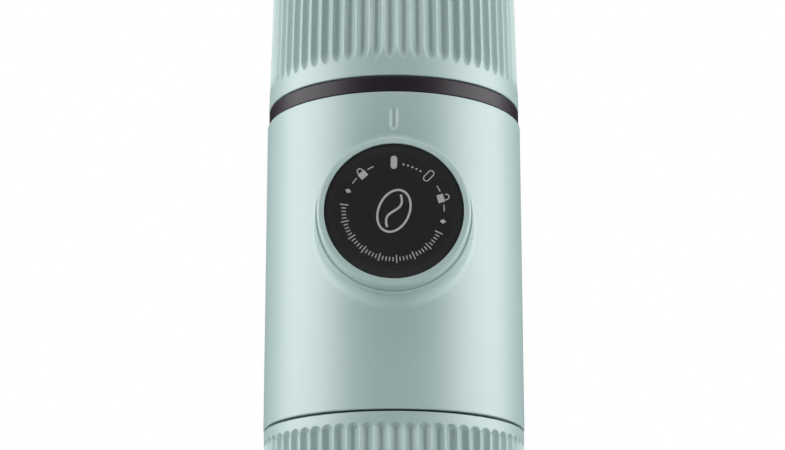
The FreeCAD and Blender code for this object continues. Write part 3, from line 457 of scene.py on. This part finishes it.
# ---- fluted shells
@dataclass
class Flutes:
    """Waves round a shell, as soft ribs and grooves, with a run-out at both ends."""

    turn: float  # first groove, in degrees from the front
    low: float  # heights of the grooves' tips
    high: float
    low_run: float
    high_run: float
    count: int = 60
    depth: float = 1.2 * MM
    crest: float = 1.3  # roundness of the ribs, from 1, sharp, to 2
    soften: float = 0.05 * MM  # rounding where a run-out leaves the plain wall
    samples: int = 20  # columns in one groove
    gather: float = 1.25  # how they gather at the ribs, from 1, evenly
    outer_share: float = 0.94  # share of the radius where the wall begins

    def angles(self) -> Array:
        """Angles round the shell, closer together at the ribs, over one full turn."""
        share = np.linspace(-1, 1, self.samples + 1)[:-1]
        share = np.sign(share) * (1 - (1 - np.abs(share)) ** self.gather) / 2
        pitch = FULL_TURN / self.count
        start = math.radians(self.turn)
        turns = np.arange(self.count)[:, None] * pitch + share[None, :] * pitch + start
        return np.append(turns.ravel(), turns[0, 0] + FULL_TURN)

    def levels(self, steps: int = 11, middle: int = 3) -> Array:
        """Heights that follow the run-outs closely and the straight part loosely.

        Args:
            steps: Steps in each run-out.
            middle: Heights between the run-outs.

        Returns:
            The heights, upwards.
        """
        share = 1 - np.cos(np.linspace(0, math.pi / 2, steps + 1))
        low = self.low + self.low_run * share
        high = (self.high - self.high_run * share)[::-1]
        return np.concatenate([low, np.linspace(low[-1], high[0], middle + 2)[1:-1], high])

    def cut(self, angles: Array, heights: Array) -> Array:
        """Depth of the surface under the plain wall.

        Args:
            angles: Angles round the shell, in radians.
            heights: Heights of the rows.

        Returns:
            Depths, of shape (rows, angles).
        """
        from_low = np.clip((heights - self.low) / self.low_run, 0, 1)
        from_high = np.clip((self.high - heights) / self.high_run, 0, 1)
        run = (1 - (1 - from_low) ** 2) * (1 - (1 - from_high) ** 2)
        wave = np.abs(np.cos((angles - math.radians(self.turn)) * self.count / 2)) ** self.crest
        hollow = self.depth * (wave[None, :] + run[:, None] - 1)
        soft = self.soften * run[:, None] + TINY
        return np.where(run[:, None] > 0, np.logaddexp(0, hollow / soft) * soft, 0)

    def skin(self, section: Array) -> Skin:
        """Turns a section and sinks the flutes into its outer wall.

        Args:
            section: (radius, height) rows, the outer wall split at the flutes' levels.

        Returns:
            The mesh in the making.
        """
        angles = self.angles()
        depths = self.cut(angles, section[:, 1])
        depths[section[:, 0] <= section[:, 0].max() * self.outer_share] = 0
        return Skin().grid(turned(section, angles, depths))


@dataclass
class Tank:
    """Water tank: fluted shell, closed at the top, over a black rim."""

    palette: Palette
    taper: float = math.radians(1.3)
    wall: float = 2.25 * MM
    thinning: float = 0.15 * MM  # of the wall at the roof
    roof: float = 3.0 * MM
    top_edge: float = 4.0 * MM
    edge: float = 0.3 * MM
    band: float = 4.1 * MM  # plain wall under the flutes
    top_band: float = 7.0 * MM  # plain wall over them
    flute_turn: float = 4.27  # first groove, in degrees from the front
    low_run: float = 3.6 * MM
    high_run: float = 3.6 * MM

    def build(self) -> None:
        """Builds the shell and dresses the rim."""
        low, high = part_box("tank_shell")
        rim_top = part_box("tank_rim")[1].z
        radius = high.x
        top = radius - math.tan(self.taper) * (high.z - low.z)
        flutes = Flutes(self.flute_turn, low.z + self.band, high.z - self.top_band,
                        self.low_run, self.high_run)
        levels = flutes.levels()
        outer = outline([Corner(radius - self.wall, low.z, self.edge), Corner(radius, low.z, self.edge),
                         Corner(top, high.z, self.top_edge), Corner(0, high.z)], steps=10)
        cut = int(np.argmax(outer[:, 1] > flutes.high))
        sides = np.stack([radius - math.tan(self.taper) * (levels - low.z), levels], -1)
        bore = radius - self.wall
        inside = top - self.wall + self.thinning
        ceiling = high.z - self.roof
        hollow = outline([Corner(0, ceiling), Corner(inside, ceiling, self.top_edge / 2),
                          Corner(inside, rim_top), Corner(bore, rim_top), Corner(bore, low.z + self.edge)],
                         steps=5)
        section = np.concatenate([outer[1:cut], sides, outer[cut:], hollow, outer[1:2]])
        fit(flutes.skin(section).build("tank"), self.palette.mint, "tank", ["tank_shell"])
        dress("tank_rim", self.palette.inner_black)
        dress("tank_seal", self.palette.silicone)


@dataclass
class Cup:
    """Fluted cup over the outlet, which stands on a square pad under its floor."""

    palette: Palette
    taper: float = math.radians(0.86)
    wall: float = 1.8 * MM
    floor: float = 3.0 * MM
    foot_edge: float = 2.4 * MM
    edge: float = 0.3 * MM
    band: float = 2.6 * MM  # plain wall over the flutes
    foot_band: float = 4.0 * MM  # plain wall under them
    seam: float = 0.2 * MM  # gap between the rim and the body
    flute_turn: float = 0.8  # first groove, in degrees from the front
    low_run: float = 2.0 * MM
    high_run: float = 1.3 * MM

    def build(self) -> None:
        """Builds the cup and dresses the scoop."""
        low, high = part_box("cup_shell")
        radius = high.x
        fall = math.tan(self.taper)
        foot = radius - fall * (high.z - low.z)
        rim = high.z - self.seam
        flutes = Flutes(self.flute_turn, self.foot_band, high.z - self.band, self.low_run, self.high_run)
        levels = flutes.levels()
        inner_foot = radius - self.wall - fall * (high.z - self.floor)
        outer = outline([Corner(0, low.z), Corner(foot, low.z, self.foot_edge),
                         Corner(radius, rim, self.edge), Corner(radius - self.wall, rim, self.edge),
                         Corner(inner_foot, self.floor, self.foot_edge), Corner(0, self.floor)], steps=7)
        cut = int(np.argmax(outer[:, 1] > flutes.high))
        sides = np.stack([radius - fall * (high.z - levels), levels], -1)
        section = np.concatenate([outer[:cut], sides, outer[cut:]])
        fit(flutes.skin(section).build("cup"), self.palette.mint, "cup", ["cup_shell"])
        dress("cup_pad", self.palette.silicone)
        dress("scoop", self.palette.black)


# ---- main body
@dataclass
class IndexMark:
    """Upright groove over the knob, with soft lips."""

    low: float  # lower end of its centre line
    high: float  # upper end
    core: float = 0.15 * MM  # half width of its floor
    lip: float = 1.3 * MM  # half width where it meets the wall
    depth: float = 0.5 * MM

    def cut(self, across: Array, height: Array) -> Array:
        """Depth of the groove at places on the wall."""
        beyond = height - np.clip(height, self.low, self.high)
        share = np.clip((self.lip - np.hypot(across, beyond)) / (self.lip - self.core), 0, 1)
        return self.depth * share * share * (3 - 2 * share)


@dataclass
class MainBody:
    """Plain round shell with the knob's boss blended into its front."""

    palette: Palette
    wall: float = 2.0 * MM
    boss_gap: float = 0.04 * MM
    boss_rim: float = 0.6 * MM
    blend: float = 3.1 * MM
    edge: float = 0.3 * MM
    bore_edge: float = 0.05 * MM
    front: float = math.radians(60)  # half of the field round the boss
    ray_step: float = 2.25  # in degrees
    fine_rays: Sequence[float] = (84.3, 95.8, 0.3)  # the index mark's rays, in degrees: from, to, step
    fine_share: float = 0.76  # share of the field that has close rows
    fine_rows: int = 51
    far_rows: int = 5  # rows in the rest of it
    back_columns: int = 105
    mark: Pair = (23.0 * MM, 26.5 * MM)  # from the knob's axis

    def __post_init__(self) -> None:
        """Reads the sizes that the frame gives."""
        low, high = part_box("body_shell")
        ring_low, ring_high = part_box("knob_ring")
        bush_low, bush_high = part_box("guide_bush")
        self.low, self.high = low.z, high.z
        self.radius = high.x
        self.inside = self.radius - self.wall
        self.boss_face = -low.y
        self.axis = (ring_low.z + ring_high.z) / 2
        self.bore = ring_high.x + self.boss_gap
        self.boss = self.bore + self.boss_rim
        self.bush = bush_high.x
        self.counter = -bush_low.y

    def rays(self) -> Array:
        """Angles round the knob, close together at the index mark, through the front's corners."""
        width = self.radius * self.front
        ends = self.low + self.edge, self.high - self.edge
        corners = [math.atan2(end - self.axis, width) for end in ends]
        corners += [math.pi - angle for angle in corners]
        coarse = np.radians(np.arange(0, 360, self.ray_step))
        fine = np.radians(np.arange(*self.fine_rays))
        coarse = coarse[(coarse < fine[0]) | (coarse > fine[-1])]
        every = np.sort(np.concatenate([coarse, fine, np.array(corners) % FULL_TURN]))
        kept = every[np.append(np.diff(every) > SAME_ANGLE, True)]
        return np.append(kept, kept[0] + FULL_TURN)

    def wall_point(self, across: Array, height: Array, radius: float) -> Array:
        """Points of a wall of a radius, at distances round the outer wall and at heights."""
        angle = across / self.radius
        return np.stack([radius * np.sin(angle), -radius * np.cos(angle), height], -1)

    def border(self, rays: Array) -> Array:
        """Where the rays meet the edge of the front field, as distance round and height."""
        width = self.radius * self.front
        up, down = self.high - self.edge - self.axis, self.low + self.edge - self.axis
        sine, cosine = np.sin(rays), np.cos(rays)
        to_side = width / np.maximum(np.abs(cosine), TINY)
        to_end = np.where(sine > 0, up, -down) / np.maximum(np.abs(sine), TINY)
        reach = np.minimum(to_side, to_end)
        return np.stack([reach * cosine, self.axis + reach * sine])

    def hole(self, rays: Array, reach: float, radius: float) -> Array:
        """Where a hole of a reach leaves a wall of a radius, as distance round and height."""
        across = self.radius * np.arcsin(reach * np.cos(rays) / radius)
        return np.stack([across, self.axis + reach * np.sin(rays)])

    def boss_rows(self, rays: Array) -> Array:
        """Rows of the bore, the boss's face and its side, from the inside out."""
        face, foot = self.boss_face, self.counter
        section = outline([Corner(self.bush, foot), Corner(self.bore, foot),
                           Corner(self.bore, face, self.bore_edge), Corner(self.boss, face, self.edge),
                           Corner(self.boss, foot)], steps=5)
        return on_knob_axis(turned(section[:-1], rays + math.pi / 2), self.axis)

    def blend_rows(self, rays: Array, steps: int = 14) -> list[Array]:
        """Rows of the rounding between the boss and the wall, as a ball rolled round would leave."""
        reach, hang = self.boss + self.blend, self.radius + self.blend
        x, z = reach * np.cos(rays), reach * np.sin(rays)
        y = -np.sqrt(hang ** 2 - x ** 2)
        centre = np.stack([x, y, self.axis + z], -1)
        to_boss = np.stack([-np.cos(rays), 0 * rays, -np.sin(rays)], -1)
        to_wall = np.stack([-x, -y, 0 * rays], -1) / hang
        return [centre + self.blend * turn for turn in sweep(to_boss, to_wall, steps)]

    def field_rows(self, rays: Array) -> list[Array]:
        """Rows of the plain wall from the rounding to the border, with the index mark."""
        start = self.hole(rays, self.boss + self.blend, self.radius + self.blend)
        way = self.border(rays) - start
        mark = IndexMark(self.axis + self.mark[0], self.axis + self.mark[1])
        shares = np.concatenate([np.linspace(0, self.fine_share, self.fine_rows + 1)[1:],
                                 np.linspace(self.fine_share, 1, self.far_rows + 1)[1:]])
        rows = []
        for share in shares:
            across, height = start + way * share
            rows.append(self.wall_point(across, height, self.radius - mark.cut(across, height)))
        return rows

    def inner_rows(self, rays: Array, steps: int = 5) -> list[Array]:
        """Rows of the inside wall, from its border to the bore."""
        start = self.border(rays)
        way = self.hole(rays, self.bush, self.inside) - start
        return [self.wall_point(*(start + way * share), self.inside)
                for share in np.linspace(0, 1, steps + 1)]

    def end_rows(self, across: Array, top: bool) -> Array:
        """Rows of the shell's end, from the outer wall over the rim to the inner wall.

        Args:
            across: Distances round the outer wall.
            top: Whether it is the upper end.

        Returns:
            Array of shape (rows, distances, 3).
        """
        end = self.high if top else self.low
        back = end - self.edge if top else end + self.edge
        section = outline([Corner(self.radius, back), Corner(self.radius, end, self.edge * NEARLY),
                           Corner(self.inside, end), Corner(self.inside, back)], steps=5)
        return np.stack([self.wall_point(across, np.full_like(across, h), r) for r, h in section])

    def build(self) -> None:
        """Builds the shell."""
        rays = self.rays()
        skin = Skin().grid(np.stack([*self.inner_rows(rays), *self.boss_rows(rays),
                                     *self.blend_rows(rays), *self.field_rows(rays)]))
        across, height = self.border(rays)
        side = np.sort(height[across > self.radius * self.front - WELD])
        side = side[np.append(np.diff(side) > WELD, True)]
        for top in (True, False):
            level = self.high - self.edge if top else self.low + self.edge
            on_end = np.abs(height - level) < WELD
            skin.grid(self.end_rows(np.sort(across[on_end]), top))
        steps = np.linspace(self.front, FULL_TURN - self.front, self.back_columns) * self.radius
        for radius in (self.radius, self.inside):
            skin.grid(np.stack([self.wall_point(steps, np.full_like(steps, z), radius) for z in side]))
        for top in (True, False):
            skin.grid(self.end_rows(steps, top))
        fit(skin.build("main_body"), self.palette.mint, "main_body", ["body_shell"])
        dress("guide_bush", self.palette.inner_black)


@dataclass
class Collar:
    """Black ring between body and tank, with the tank's neck and its catches."""

    palette: Palette
    inset: float = 0.35 * MM  # of the shadow line over the body
    line: float = 0.25 * MM
    line_edge: float = 0.15 * MM
    edge: float = 0.3 * MM
    spigot_inset: float = 2.05 * MM  # from the body's outside
    neck_rise: float = 8.0 * MM
    neck_wall: float = 2.0 * MM
    floor: float = 2.5 * MM
    catch_drop: float = 1.0 * MM  # from the neck's top to the catches
    catch: float = 2.0 * MM
    catch_reach: float = 1.3 * MM
    catch_half: float = 25.0  # in degrees
    catch_count: int = 3
    port: float = 3.0 * MM  # radius of the water's way down
    recess: float = 6.05 * MM  # radius of the strainer's seat
    recess_depth: float = 0.6 * MM
    recess_edge: float = 0.1 * MM
    steps: int = 256
    catch_steps: int = 24

    def ring(self, neck: float) -> None:
        """Builds the ring with its neck and floor, the neck at a radius."""
        low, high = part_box("collar")
        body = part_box("body_shell")[1]
        ring, spigot, inside = high.x, body.x - self.spigot_inset, neck - self.neck_wall
        ring_top, floor_top, line_top = high.z - self.neck_rise, low.z + self.floor, body.z + self.line
        recess_low = floor_top - self.recess_depth
        section = outline([
            Corner(self.port, low.z), Corner(self.port, recess_low), Corner(self.recess, recess_low),
            Corner(self.recess, floor_top, self.recess_edge), Corner(inside, floor_top, self.edge),
            Corner(inside, high.z, self.edge), Corner(neck, high.z, self.edge),
            Corner(neck, ring_top, self.edge), Corner(ring, ring_top, self.edge),
            Corner(ring, line_top, self.line_edge), Corner(ring - self.inset, line_top),
            Corner(ring - self.inset, body.z), Corner(spigot, body.z), Corner(spigot, low.z)],
            closed=True, steps=5)
        skin = Skin().grid(turned(section, full_turn(self.steps)))
        fit(skin.build("collar_ring"), self.palette.black, "main_body", ["collar"])

    def catches(self, neck: float) -> None:
        """Builds the catches on a neck of a radius."""
        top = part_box("collar")[1].z - self.catch_drop
        foot, tip, low = neck - self.edge, neck + self.catch_reach, top - self.catch
        section = outline([Corner(foot, low), Corner(tip, low, self.edge), Corner(tip, top, self.edge),
                           Corner(foot, top)], closed=True, steps=4)
        skin = Skin()
        half = math.radians(self.catch_half)
        for turn in range(self.catch_count):
            middle = math.pi + FULL_TURN * turn / self.catch_count
            rows = turned(section, np.linspace(middle - half, middle + half, self.catch_steps + 1))
            skin.grid(rows)
            skin.polygon(rows[:-1, 0])
            skin.polygon(rows[:-1, -1])
        fit(skin.build("neck_catches"), self.palette.black, "main_body")

    def build(self) -> None:
        """Builds ring and catches, and dresses what is screwed and pushed in."""
        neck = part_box("tank_seal")[1].x
        self.ring(neck)
        self.catches(neck)
        dress("inlet_filter", self.palette.steel)
        dress("collar_screws", self.palette.wire)


# ---- knob
@dataclass(frozen=True)
class Dish:
    """Shallow round hollow in the knob's face."""

    radius: float
    edge: float  # in front of the maker's axis
    depth: float

    def front(self, reach: Array) -> Array:
        """Distance of its surface in front of the maker's axis, at distances from the knob's axis."""
        return self.edge - self.depth * (1 - (reach / self.radius) ** 2)


def pill(width: float, length: float, steps: int = 10) -> Array:
    """Outline of an upright pill as (across, outwards) rows, less its last point."""
    half = max(length - width, 0) / 2
    turn = np.linspace(0, math.pi, steps + 1)
    upper = np.stack([np.cos(turn), np.sin(turn)], -1) * width / 2 + (0, half)
    return np.concatenate([upper, -upper[:-1]])


def arc(radius: float, start: float, end: float, steps: int = 16) -> Array:
    """Points of an arc from one angle to another, in degrees from +X."""
    turn = np.radians(np.linspace(start, end, steps + 1))
    return np.stack([np.cos(turn), np.sin(turn)], -1) * radius


@dataclass
class PrintedMarks:
    """Thin raised print on the knob's face, laid out as on a clock seen from the front.

    Angles are in degrees, clockwise from the top.
    """

    face: Dish
    axis: float
    thickness: float = 0.04 * MM
    radius: float = 11.35 * MM
    stroke: float = 0.24 * MM
    bold: float = 0.5 * MM
    full_pill: Pair = (1.5 * MM, 3.1 * MM)  # width and length
    open_pill: Pair = (1.35 * MM, 2.8 * MM)  # width and length
    turned_to: float = 44.0
    dots: Sequence[float] = (11.5, 33, 5)  # first, last, number
    dot: Pair = (0.24 * MM, 0.3 * MM)  # radius, and distance inside the ring of marks
    locks: Pair = (-40, 75)  # the shut and the open one
    lock: Sequence[float] = (0.95 * MM, -1.15 * MM, 0.35 * MM)  # half width, lower and upper edge
    shackle: Pair = (0.62 * MM, 0.3 * MM)  # radius of the bow, length of the legs
    opened: Pair = (0.25 * MM, 0.45 * MM)  # lift of the open bow and its free leg
    dash: float = 8  # length, and distance from a padlock
    diamonds: Pair = (-66, 103)
    diamond: Pair = (0.55 * MM, 0.75 * MM)  # half sizes
    ticks: Sequence[float] = (117, 281, 4)  # from, to, step
    long_every: int = 5
    tall: Pair = (0.95 * MM, 0.5 * MM)  # half a long and a short tick
    bean: Pair = (3.5 * MM, 5.1 * MM)  # half sizes
    crease: Pair = (0.95 * MM, 4.1 * MM)  # half sizes
    bean_lean: float = 22
    skin: Skin = field(default_factory=Skin)

    def lay(self, shape: Array, clock: float) -> Array:
        """Places a shape on the ring of marks.

        Args:
            shape: Points as (across, outwards) rows.
            clock: The mark's angle.

        Returns:
            Points in the plane of the face, as (x, z) rows from the knob's axis.
        """
        angle = math.radians(clock)
        outwards = np.array((math.sin(angle), math.cos(angle)))
        sideways = np.array((math.cos(angle), -math.sin(angle)))
        return (self.radius + shape[:, 1:]) * outwards + shape[:, :1] * sideways

    def lift(self, flat: Array, height: float) -> Array:
        """Stands plane points on the face at a height."""
        front = self.face.front(np.hypot(flat[..., 0], flat[..., 1])) + height
        return np.stack([flat[..., 0], -front, self.axis + flat[..., 1]], -1)

    def fill(self, shape: Array, clock: float) -> None:
        """Adds a filled mark.

        Args:
            shape: Its outline, which isn't closed, as (across, outwards) rows.
            clock: Its angle.
        """
        flat = self.lay(shape, clock)
        loop = np.vstack([flat, flat[:1]])
        self.skin.polygon(self.lift(flat, self.thickness))
        self.skin.grid(np.stack([self.lift(loop, 0), self.lift(loop, self.thickness)]))
        self.skin.polygon(self.lift(flat[::-1], 0))

    def line(self, flat: Array, width: float, closed: bool = False) -> None:
        """Adds a line of even width.

        Args:
            flat: The line's middle, in the plane of the face.
            width: Its width.
            closed: Whether it runs back to its start.
        """
        if closed:
            ahead, behind = np.roll(flat, -1, 0), np.roll(flat, 1, 0)
        else:
            ahead = np.vstack([flat[1:], flat[-1:]])
            behind = np.vstack([flat[:1], flat[:-1]])
        way = (ahead - behind) / np.linalg.norm(ahead - behind, axis=1)[:, None]
        side = np.stack([-way[:, 1], way[:, 0]], -1) * width / 2
        left, right = flat + side, flat - side
        loop = [self.lift(left, 0), self.lift(left, self.thickness),
                self.lift(right, self.thickness), self.lift(right, 0), self.lift(left, 0)]
        rows = np.stack(loop, 1)
        if closed:
            rows = np.concatenate([rows, rows[:1]])
        else:
            self.skin.polygon(rows[0, :4])
            self.skin.polygon(rows[-1, :4])
        self.skin.grid(rows)

    def add_pills(self) -> None:
        """Adds the filled pill, the dots and the open pill."""
        self.fill(pill(*self.full_pill), 0)
        dot = arc(self.dot[0], 0, 330, 11) - (0, self.dot[1])
        for clock in np.linspace(*self.dots):
            self.fill(dot, clock)
        hollow = np.delete(pill(*self.open_pill), 10, 0)
        self.line(self.lay(hollow, self.turned_to), self.stroke, closed=True)

    def add_padlock(self, clock: float, shut: bool) -> None:
        """Adds a small padlock.

        Args:
            clock: Its angle.
            shut: Whether its shackle is closed.
        """
        half, low, high = self.lock
        radius, leg = self.shackle
        self.fill(np.array([(-half, low), (half, low), (half, high), (-half, high)]), clock)
        lift, free = (0, 0) if shut else self.opened
        bow = arc(radius, 0, 180) + (0, high + leg + lift)
        line = np.vstack([(radius, high), bow, (-radius, high + free)])
        self.line(self.lay(line, clock), self.stroke)

    def add_scale(self) -> None:
        """Adds the dashes beside the padlocks, the diamonds and the ring of ticks."""
        for lock in self.locks:
            for start in (lock - 2 * self.dash, lock + self.dash):
                turn = np.radians(np.linspace(start, start + self.dash, 9))
                self.line(np.stack([np.sin(turn), np.cos(turn)], -1) * self.radius, self.stroke)
        diamond = np.array([(1, 0), (0, 1), (-1, 0), (0, -1)]) * self.diamond
        for clock in self.diamonds:
            self.fill(diamond, clock)
        for number, clock in enumerate(np.arange(*self.ticks)):
            tall = self.tall[number % self.long_every > 0]
            self.line(self.lay(np.array([(0, -tall), (0, tall)]), clock), self.stroke)

    def add_bean(self) -> None:
        """Adds a coffee bean's outline and crease in the middle of the face."""
        turn = full_turn(64)[:-1]
        tilt = math.radians(self.bean_lean)
        lean = np.array([(math.cos(tilt), -math.sin(tilt)), (math.sin(tilt), math.cos(tilt))])
        shell = np.stack([np.sin(turn), np.cos(turn)], -1) * self.bean
        self.line(shell @ lean, self.bold, closed=True)
        rise = np.linspace(-1, 1, 33)
        crease = np.stack([np.sin(rise * math.pi), rise], -1) * self.crease
        self.line(crease @ lean, self.bold)

    def build(self, ink: Material) -> None:
        """Builds all the marks as one piece of an ink."""
        self.add_pills()
        for clock, shut in zip(self.locks, (True, False)):
            self.add_padlock(clock, shut)
        self.add_scale()
        self.add_bean()
        fit(self.skin.build("knob_marks", sharp=20), ink, "knob")


@dataclass
class Knob:
    """Pump knob: a ring with a sloping face round a black disc with printed marks."""

    palette: Palette
    ring_wall: float = 1.65 * MM
    slope: float = 0.45 * MM
    inner_edge: float = 0.12 * MM
    nose: float = 0.85 * MM
    back_edge: float = 0.2 * MM
    clearance: float = 0.05 * MM  # behind the disc and round the sleeve
    band: float = 2.9 * MM  # the disc's flat rim
    band_fall: float = 0.3 * MM
    band_edge: float = 0.12 * MM
    step: float = 0.12 * MM  # depth, inside the band
    step_run: float = 0.9 * MM  # its length
    step_crest: float = 0.8 * MM
    step_foot: float = 0.3 * MM
    dish: float = 0.45 * MM  # depth
    dish_rings: int = 14
    steps: int = 192

    def __post_init__(self) -> None:
        """Reads the sizes that the frame gives."""
        self.low, self.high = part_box("knob_ring")
        self.disc_low, self.disc_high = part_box("knob_disc")
        self.axis = (self.low.z + self.high.z) / 2

    def turn(self, section: Array) -> Skin:
        """Turns a section of radii and distances to the front about the knob's axis."""
        return Skin().grid(on_knob_axis(turned(section, full_turn(self.steps)), self.axis))

    def ring(self) -> None:
        """Builds the ring in the body's colour."""
        face, back, radius = -self.low.y, -self.high.y, self.high.x
        inner, seat = radius - self.ring_wall, -self.disc_high.y + self.clearance
        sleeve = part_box("knob_sleeve")[1].x + self.clearance
        section = outline([
            Corner(inner, seat), Corner(inner, face, self.inner_edge),
            Corner(radius, face - self.slope, self.nose), Corner(radius, back, self.back_edge),
            Corner(sleeve, back), Corner(sleeve, seat)], closed=True, steps=8)
        fit(self.turn(section).build("knob_rim"), self.palette.mint, "knob", ["knob_ring"])

    def disc(self) -> Dish:
        """Builds the black disc and returns the hollow in its face."""
        back, face, radius = -self.disc_high.y, -self.disc_low.y, self.disc_high.x
        dish = Dish(radius - self.band, face - self.step, self.dish)
        reach = np.linspace(dish.radius, 0, self.dish_rings + 1)[1:]
        hollow = np.stack([reach, dish.front(reach)], -1)
        section = outline([
            Corner(0, back), Corner(radius, back), Corner(radius, face - self.band_fall, self.band_edge),
            Corner(dish.radius + self.step_run, face, self.step_crest),
            Corner(dish.radius, dish.edge, self.step_foot), Corner(*hollow[0])])
        skin = self.turn(np.vstack([section, hollow[1:]]))
        fit(skin.build("knob_face_disc"), self.palette.face, "knob", ["knob_disc"])
        return dish

    def build(self) -> None:
        """Builds the knob and dresses what is behind it."""
        self.ring()
        PrintedMarks(self.disc(), self.axis).build(self.palette.ink)
        dress("knob_sleeve", self.palette.inner_black)


@dataclass
class Inside:
    """Pump, valves, frame and outlet, which stay as their CAD nodes."""

    palette: Palette

    def build(self) -> None:
        """Dresses the nodes."""
        palette = self.palette
        finishes = {
            palette.inner_black: ("chassis", "valve_block", "brew_chamber", "lower_ring", "outlet_head",
                                  "outlet_funnel", "nozzle"),
            palette.grey: ("pump_cylinder", "piston_rod", "inlet_tube", "outlet_tube"),
            palette.silicone: ("inlet_valve", "block_seal", "piston_seals", "brew_seal", "grip_ring"),
            palette.steel: ("basket", "shower_screen", "rod_clip", "pressure_ball"),
            palette.wire: ("pump_spring", "valve_spring", "pump_screws", "block_screws", "brew_screws"),
        }
        for material, nodes in finishes.items():
            for node in nodes:
                dress(node, material)
            log.info("%s on %s", material.name, ", ".join(nodes))


# ---- studio
@dataclass(frozen=True)
class Softbox:
    """A soft lamp that stands round the maker."""

    name: str
    azimuth: float  # in degrees from the front, positive to the right
    distance: float
    height: float
    width: float
    tall: float
    power: float  # in watts

    def build(self, aim: float) -> None:
        """Stands the lamp and turns it to the maker's axis at a height."""
        lamp = bpy.data.lights.new(self.name, "AREA")
        lamp.shape = "RECTANGLE"
        lamp.size, lamp.size_y = self.width, self.tall
        lamp.energy = self.power
        made = bpy.data.objects.new(self.name, lamp)
        bpy.context.scene.collection.objects.link(made)
        turn = math.radians(self.azimuth)
        out = Vector((math.sin(turn), -math.cos(turn), 0))
        made.location = out * self.distance + Vector((0, 0, self.height))
        look = Vector((0, 0, aim)) - made.location
        made.rotation_euler = look.to_track_quat("-Z", "Y").to_euler()
        made.visible_camera = False


@dataclass
class Studio:
    """Camera, pale floor, white surroundings and soft lamps."""

    focal: float = 103.16
    sensor: float = 36.0  # focal length and sensor in millimetres
    clip: float = 0.01
    pitch: float = 0.266  # upwards
    stand: Sequence[float] = (-0.00033, -0.528918, -0.060005)
    ambient: float = 0.22  # light of the surroundings
    ceiling_low: float = math.radians(40)  # where the white ceiling begins
    ceiling_high: float = math.radians(65)  # where it is fully white
    floor_half: float = 2.5
    floor_tint: float = 0.86
    aim: float = 0.08  # height that the lamps face
    lamps: Sequence[Softbox] = (
        Softbox("side_left", -80, 0.7, 0.08, 0.85, 1.0, power=10.8),
        Softbox("side_right", 80, 0.7, 0.08, 0.85, 1.0, power=10.8),
        Softbox("overhead", 0, 0.35, 0.9, 0.6, 0.6, power=1.4),
    )

    def camera(self) -> None:
        """Stands the camera in front, a little below the maker's foot, looking up."""
        lens = bpy.data.cameras.new("camera")
        lens.lens = self.focal
        lens.sensor_width = self.sensor
        lens.clip_start = self.clip
        made = bpy.data.objects.new("camera", lens)
        made.location = self.stand
        made.rotation_euler = (math.pi / 2 + self.pitch, 0, 0)
        bpy.context.scene.collection.objects.link(made)
        bpy.context.scene.camera = made

    def floor(self) -> None:
        """Lays the floor, which shows from above only."""
        skin = Skin()
        side = self.floor_half
        skin.polygon(np.array([(-side, -side, 0), (side, -side, 0), (side, side, 0), (-side, side, 0)]))
        made = skin.build("floor")
        recipe = Recipe(bpy.data.materials.new("pale_floor"))
        camera = recipe.node("ShaderNodeLightPath", {}, {}, "Is Camera Ray")
        paint = recipe.node("ShaderNodeBsdfDiffuse", {}, {"Color": (self.floor_tint,) * 3})
        clear = recipe.node("ShaderNodeBsdfTransparent", {}, {})
        under = recipe.node("ShaderNodeNewGeometry", {}, {}, "Backfacing")
        both = recipe.node("ShaderNodeMixShader", {}, {0: camera * under, 1: paint, 2: clear})
        made.data.materials.append(recipe.output(both))

    def world(self) -> None:
        """Surrounds the maker with white, which is dimmer as a light than to the eye.

        Mirrors and glass see the white ceiling too. Lower down the room is dark to them, which
        keeps the black parts black.
        """
        recipe = Recipe(bpy.data.worlds.new("white_room"))
        camera, glossy, through = (recipe.node("ShaderNodeLightPath", {}, {}, f"Is {kind} Ray")
                                   for kind in ("Camera", "Glossy", "Transmission"))
        rise = recipe.part(recipe.node("ShaderNodeTexCoord", {}, {}, "Generated"), "Z")
        ceiling = recipe.node("ShaderNodeMapRange", {"interpolation_type": "SMOOTHSTEP"}, {
            "Value": rise, "From Min": math.sin(self.ceiling_low), "From Max": math.sin(self.ceiling_high)})
        white = {"Color": (1, 1, 1), "Strength": 1.0}
        dim = {"Color": (1, 1, 1), "Strength": self.ambient * (1 - glossy)}
        bright = recipe.node("ShaderNodeBackground", {}, white)
        light = recipe.node("ShaderNodeBackground", {}, dim)
        seen = camera + through + glossy * ceiling
        both = recipe.node("ShaderNodeMixShader", {}, {0: seen, 1: light, 2: bright})
        bpy.context.scene.world = recipe.output(both, "ShaderNodeOutputWorld")

    def build(self) -> None:
        """Sets up the whole studio."""
        bpy.context.scene.view_settings.view_transform = "Standard"
        self.camera()
        self.floor()
        self.world()
        for lamp in self.lamps:
            lamp.build(self.aim)


def main() -> None:
    """Builds the studio and every sub-assembly."""
    logging.basicConfig(level=logging.INFO, format="%(message)s")
    palette = Palette()
    Studio().build()
    for assembly in (Tank(palette), Collar(palette), MainBody(palette), Knob(palette), Cup(palette),
                     Inside(palette)):
        assembly.build()
        log.info("%s done", type(assembly).__name__)


if __name__ == "__main__":
    main()
